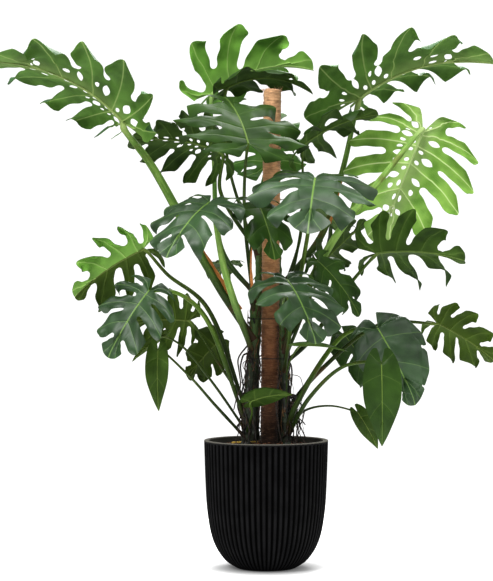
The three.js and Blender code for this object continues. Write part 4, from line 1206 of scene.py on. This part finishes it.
def pot_finish():
    material, shader, here = new_finish("matt_black_pot", specular_ior_level=0.02)
    cast, grit = here.noise(22, 4), here.noise(900)
    groove = skin_maps(here)[0].part("X").fade(0.02, 0.5)
    x, y, z = [here.part(axis) for axis in "XYZ"]
    inside = (1 - (x * x + y * y).fade(INNER_RADIUS[0] ** 2, INNER_RADIUS[1] ** 2)) * z.fade(0.25, 0.26)
    base = cast.fade(0.3, 0.7).blend("#141415", "#1c1c1d")
    # Painted shade: the grooves between the ribs are near black.
    base = base.tint("#010101", groove * 0.95)
    base = base.tint("#2a2a2a", grit.fade(0.62, 0.75) * 0.12)
    # Painted light: the inner wall and the top of the lip are lighter grey.
    base = base.tint("#45433e", inside)
    base = base.tint("#6f6c65", z.fade(*LIP_HEIGHT))
    cover(shader, base, cast * 0.14 + 0.6, grit + cast * 0.5, 0.35, 0.0005)
    return material


POT_BLACK = pot_finish()
print("pot finish")

# %% Pot profile
# Rows from the middle of the foot up the outside, over the lip and down the inside: radius, height, and
# how deep the grooves are there, from 0 to 1.
RIBS = 66
RIB_DEPTH = 4.0
OUTSIDE = [(82, 0), (114, 21), (138, 53), (154, 92), (166, 160), (171, 240), (175, 354)]
GROOVES_END = [(174.8, 352, 1), (174.6, 353.8, 0.5)]
LIP = [(174.6, 355), (175, 356), (175, 358.2), (174.6, 359.4), (173.4, 360), (162.6, 360), (161, 359.4),
       (160.2, 358), (158.4, 350), (156.6, 344)]
INSIDE = [(155, 338), (152, 240), (147, 160), (135, 92), (119, 53), (95, 22), (0.5, 22)]


def pot_rows():
    ribbed = smooth_line([(r, 0, z) for r, z in OUTSIDE], np.linspace(0, 1, 72))[1:-2, [0, 2]]
    plain = [(r, z, 0) for r, z in LIP + INSIDE]
    return np.array([(0.5, 0, 0), (80, 0, 0), *[(r, z, 1) for r, z in ribbed], *GROOVES_END, *plain])


print(len(pot_rows()), "rows from foot to floor")

# %% Pot
ACROSS_RIB = np.array([-0.5, -0.44, -0.34, -0.18, 0, 0.18, 0.34, 0.44])


def turn_pot():
    radius, height, share = [column[:, None] for column in pot_rows().T]
    turn = ((np.arange(RIBS)[:, None] + ACROSS_RIB[None, :]) / RIBS * 2 * np.pi).ravel()
    groove = np.tile(np.abs(ACROSS_RIB * 2) ** 2, RIBS)[None, :] * (share * np.clip(height / 9, 0.25, 1))
    radius = radius - RIB_DEPTH * groove
    height = np.repeat(height, len(turn), 1)
    spots = np.stack([radius * np.cos(turn), radius * np.sin(turn), height], -1) * MM
    return closed_rings(spots, np.stack([groove.ravel(), height.ravel() * MM], 1))


make_piece("ribbed_pot", [turn_pot()], [POT_BLACK], "pot", crease=60)

# %% [markdown]
# ## Potting mix
#
# The mix is dark, damp and crumbly, with bits of bark on it, and it sits a finger's width below the rim.
# Its crumbs are moved points of a fine round grid, and the bark bits are small tilted chips that lie on it.

# %% Mix and bark finishes
def mix_finish():
    material, shader, here = new_finish("potting_mix", specular_ior_level=0.2)
    crumbs = here.noise(160, 5)
    base = crumbs.fade(0.3, 0.7).blend("#120d0a", "#3a2a20")
    base = base.tint("#0b0806", here.noise(14).fade(0.4, 0.7) * 0.5)
    cover(shader, base, crumbs * 0.2 + 0.75, crumbs, 0.8, 0.002)
    return material


def bark_finish():
    material, shader, here = new_finish("bark_chip", specular_ior_level=0.25)
    grain = here.stretch((120, 300, 120)).noise(1, 3)
    cover(shader, grain.fade(0.35, 0.65).blend("#2b1a11", "#6b4630"), grain * 0.2 + 0.7, grain, 0.6, 0.001)
    return material


MIX, BARK = mix_finish(), bark_finish()
print("mix and bark finishes")

# %% Mix and bark bits
MIX_TOP = 338
MIX_SIDES, MIX_RINGS = 120, 52
BELOW_MIX = [(151.6, 240), (146.7, 160), (134.7, 92), (118.7, 53), (94.7, 22.4), (0.4, 22.4)]


def mix_height(radius):
    return np.interp(radius, [0, 96, 155], [MIX_TOP + 13, MIX_TOP + 9.1, MIX_TOP])


def heap_mix():
    top = np.linspace(0.4, 154.6, MIX_RINGS)
    radius, height = np.array([*zip(top, mix_height(top)), *BELOW_MIX]).T
    turn = 2 * np.pi * np.arange(MIX_SIDES) / MIX_SIDES
    grid_r, grid_t = np.meshgrid(radius, turn, indexing="ij")
    x, y = grid_r * np.cos(grid_t), grid_r * np.sin(grid_t)
    near_x, near_y = x[:MIX_RINGS], y[:MIX_RINGS]
    crumb = lumps_at(near_x / 9, near_y / 9, 0) * 3.0 + lumps_at(near_x / 3.4, near_y / 3.4, 9) * 1.8
    z = np.repeat(height[:, None], MIX_SIDES, 1)
    z[:MIX_RINGS] += crumb * np.clip((154 - top[:, None]) / 12, 0.2, 1)
    return closed_rings(np.stack([x, y, z], -1) * MM, downward=True)


def bark_bits(count):
    bits, wander = [], np.random.default_rng(11)
    for _ in range(count):
        radius, turn = 148 * math.sqrt(wander.random()), wander.uniform(0, 2 * np.pi)
        x, y = radius * math.cos(turn), radius * math.sin(turn)
        size, way = wander.uniform(4, 11), wander.uniform(0, np.pi)
        t = np.linspace(-1, 1, 5)
        line = np.stack([x + t * size * math.cos(way), y + t * size * math.sin(way),
                         np.repeat(mix_height(radius) + 2.2, 5) + t * wander.uniform(-1.5, 1.5)], 1)
        width = wander.uniform(1.6, 3.2) * np.sqrt(1.05 - t**2)
        bits.append(rod(line * MM, width * MM, 5, finish=1))
    return bits


make_piece("crumbly_mix", [heap_mix(), *bark_bits(170)], [MIX, BARK], "soil", crease=70)

# %% [markdown]
# ## Ties, dried sheaths and the fallen stalk
#
# Two loops of thin dark wire hold the vines to the pole, each with its ends twisted together at the front.
# Where a new leaf slipped out, its old sheath stays behind on the petiole and dries to a curled strip of
# orange-brown paper. One old stalk lies on the mix, dried to mustard yellow. The pole core can't be seen,
# so it keeps its CAD shape and only gets the colour of wood.

# %% Small finishes
def streaky_finish(name, dark, light, scale, rough, depth=0.0006):
    """Streaks that run along a rod or a strip: wire, paper, straw or wood."""
    material, shader, here = new_finish(name, specular_ior_level=0.3)
    streaks = skin_maps(here)[0].stretch(scale).noise(1, 4)
    base = (streaks.fade(0.3, 0.7) * 0.7 + here.noise(60) * 0.3).blend(dark, light)
    cover(shader, base, streaks * 0.2 + rough, streaks, 0.7, depth)
    return material


WIRE = streaky_finish("coated_wire", "#0e0e0e", "#1f1f1e", (6, 300, 1), 0.35, 0.0002)
PAPER = streaky_finish("dried_sheath", "#94531f", "#dd9a58", (30, 12, 1), 0.6)
STRAW = streaky_finish("dried_stalk", "#8f6f22", "#cfae4e", (12, 30, 1), 0.6)
CORE_WOOD = streaky_finish("core_wood", "#a07a4e", "#caa470", (8, 2, 1), 0.6)
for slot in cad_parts["pole_core"].material_slots:
    slot.material = CORE_WOOD
print("wire, paper, straw and wood finishes")

# %% Ties
TIE_HEIGHTS = (592, 704)
WIRE_THICK, END_THICK = 1.3, 1.1


def round_things(height):
    """The middle and the radius of the pole and of every vine that reaches a height."""
    lean = math.tan(math.radians(POLE["lean"]))
    yield np.array([POLE["x"] + (height - POLE["bottom"]) * lean, 0.0]), POLE["radius"] + 0.6
    for name, vine in VINES.items():
        foot, tip = vine["line"][0][2], vine["line"][-1][2]
        if tip > height:
            thick = vine["thick"] + (VINE_TIP - vine["thick"]) * (height - foot) / (tip - foot)
            yield vine_at(name, height)[:2], thick + 1.2


def tie_loop(height, seed):
    """A wire pulled round the pole and the vines, with twisted ends in front."""
    rounds = list(round_things(height))
    line = []
    for turn in np.linspace(-np.pi / 2, 1.5 * np.pi, 121):
        way = np.array([np.cos(turn), np.sin(turn)])
        spot, radius = max(rounds, key=lambda each: each[0].dot(way) + each[1])
        line.append([*(spot + way * (radius + 1.6)), height + 3.0 * way[1] * math.sin(seed)])
    line = np.array(line) * MM
    shells = [rod(line, np.full(len(line), WIRE_THICK * MM), 8)]
    t = np.linspace(0, 1, 34)
    for phase in (0, np.pi):
        coil = line[0] + np.stack([0.0018 * np.cos(14 * t + phase) + 0.004 * t, -0.001 - 0.017 * t,
                                   0.0018 * np.sin(14 * t + phase) - 0.012 * t**2], 1)
        shells.append(rod(coil, np.full(len(t), END_THICK * MM), 7))
    return shells


for number, height in enumerate(TIE_HEIGHTS, 1):
    make_piece(f"wire_tie_{number}", tie_loop(height, number), [WIRE], f"tie_{number}")

# %% Dried sheaths
# start and end: shares of the petiole's length. beside: the side of it on which the sheath stands. wide: the
# sheath's width at its foot.
SHEATHS = [
    dict(leaf="01", start=0.09, end=0.29, beside=(0.7, -0.7, 0.4), wide=25),
    dict(leaf="03", start=0.3, end=0.48, beside=(0.6, -0.8, 0), wide=11),
    dict(leaf="10", start=0.14, end=0.48, beside=(0.3, -1, 0), wide=10),
]
PAPER_THICK, PAPER_GAP = 0.0008, 0.0012
SHEATH_ROWS, SHEATH_COLUMNS = 46, 13


def dry_sheath(sheath, seed):
    """A strip beside its petiole that narrows upward, curls its edges outward and crinkles."""
    leaf = next(each for each in LEAVES if each["name"] == sheath["leaf"])
    share = np.linspace(0, 1, SHEATH_ROWS)
    line, thick = petiole_line(leaf, sheath["start"] + (sheath["end"] - sheath["start"]) * share)
    heading = level_ways(line)[0]
    beside = np.array(sheath["beside"], float)
    outward = beside - heading * (heading @ beside)[:, None]
    outward /= np.linalg.norm(outward, axis=1)[:, None]
    across = np.cross(outward, heading)
    half = sheath["wide"] / 2 * MM * (1 - 0.85 * share) * (1 + 0.12 * np.sin(17 * share + seed))
    u = np.linspace(-1, 1, SHEATH_COLUMNS)
    curl = (half * (0.25 + 0.5 * share))[:, None] * np.abs(u)[None, :] ** 1.6
    crinkle = 0.0007 * np.sin(31 * share[:, None] + 5 * u[None, :] + seed) * np.abs(u)[None, :]
    lift = (thick + PAPER_GAP)[:, None] + curl + crinkle
    aside = half[:, None] * u
    outer = line[:, None] + outward[:, None] * lift[..., None] + across[:, None] * aside[..., None]
    inner = outer - outward[:, None] * PAPER_THICK
    near = np.stack([np.tile([*u, *u[::-1]], SHEATH_ROWS), np.repeat(share * 0.3, 2 * SHEATH_COLUMNS)], 1)
    return closed_rings(np.concatenate([outer, inner[:, ::-1]], 1), near)


for number, sheath in enumerate(SHEATHS, 1):
    make_piece(f"papery_sheath_{number}", [dry_sheath(sheath, number)], [PAPER],
               f"sheath_{number}")

# %% Fallen stalk
STALK_STOPS = [(-96, 8, 350.7), (-70, 4, 352.7), (-45, -3, 353.7), (-24, -12, 354.7)]
STALK_THICK = 3.4

t = np.linspace(0, 1, 40)
stalk_sizes = STALK_THICK * MM * (1 - 0.25 * t + 0.06 * np.sin(26 * t))
make_piece("fallen_stalk_dry", [rod(smooth_line(STALK_STOPS, t) * MM, stalk_sizes, 12)], [STRAW],
           "fallen_stalk")
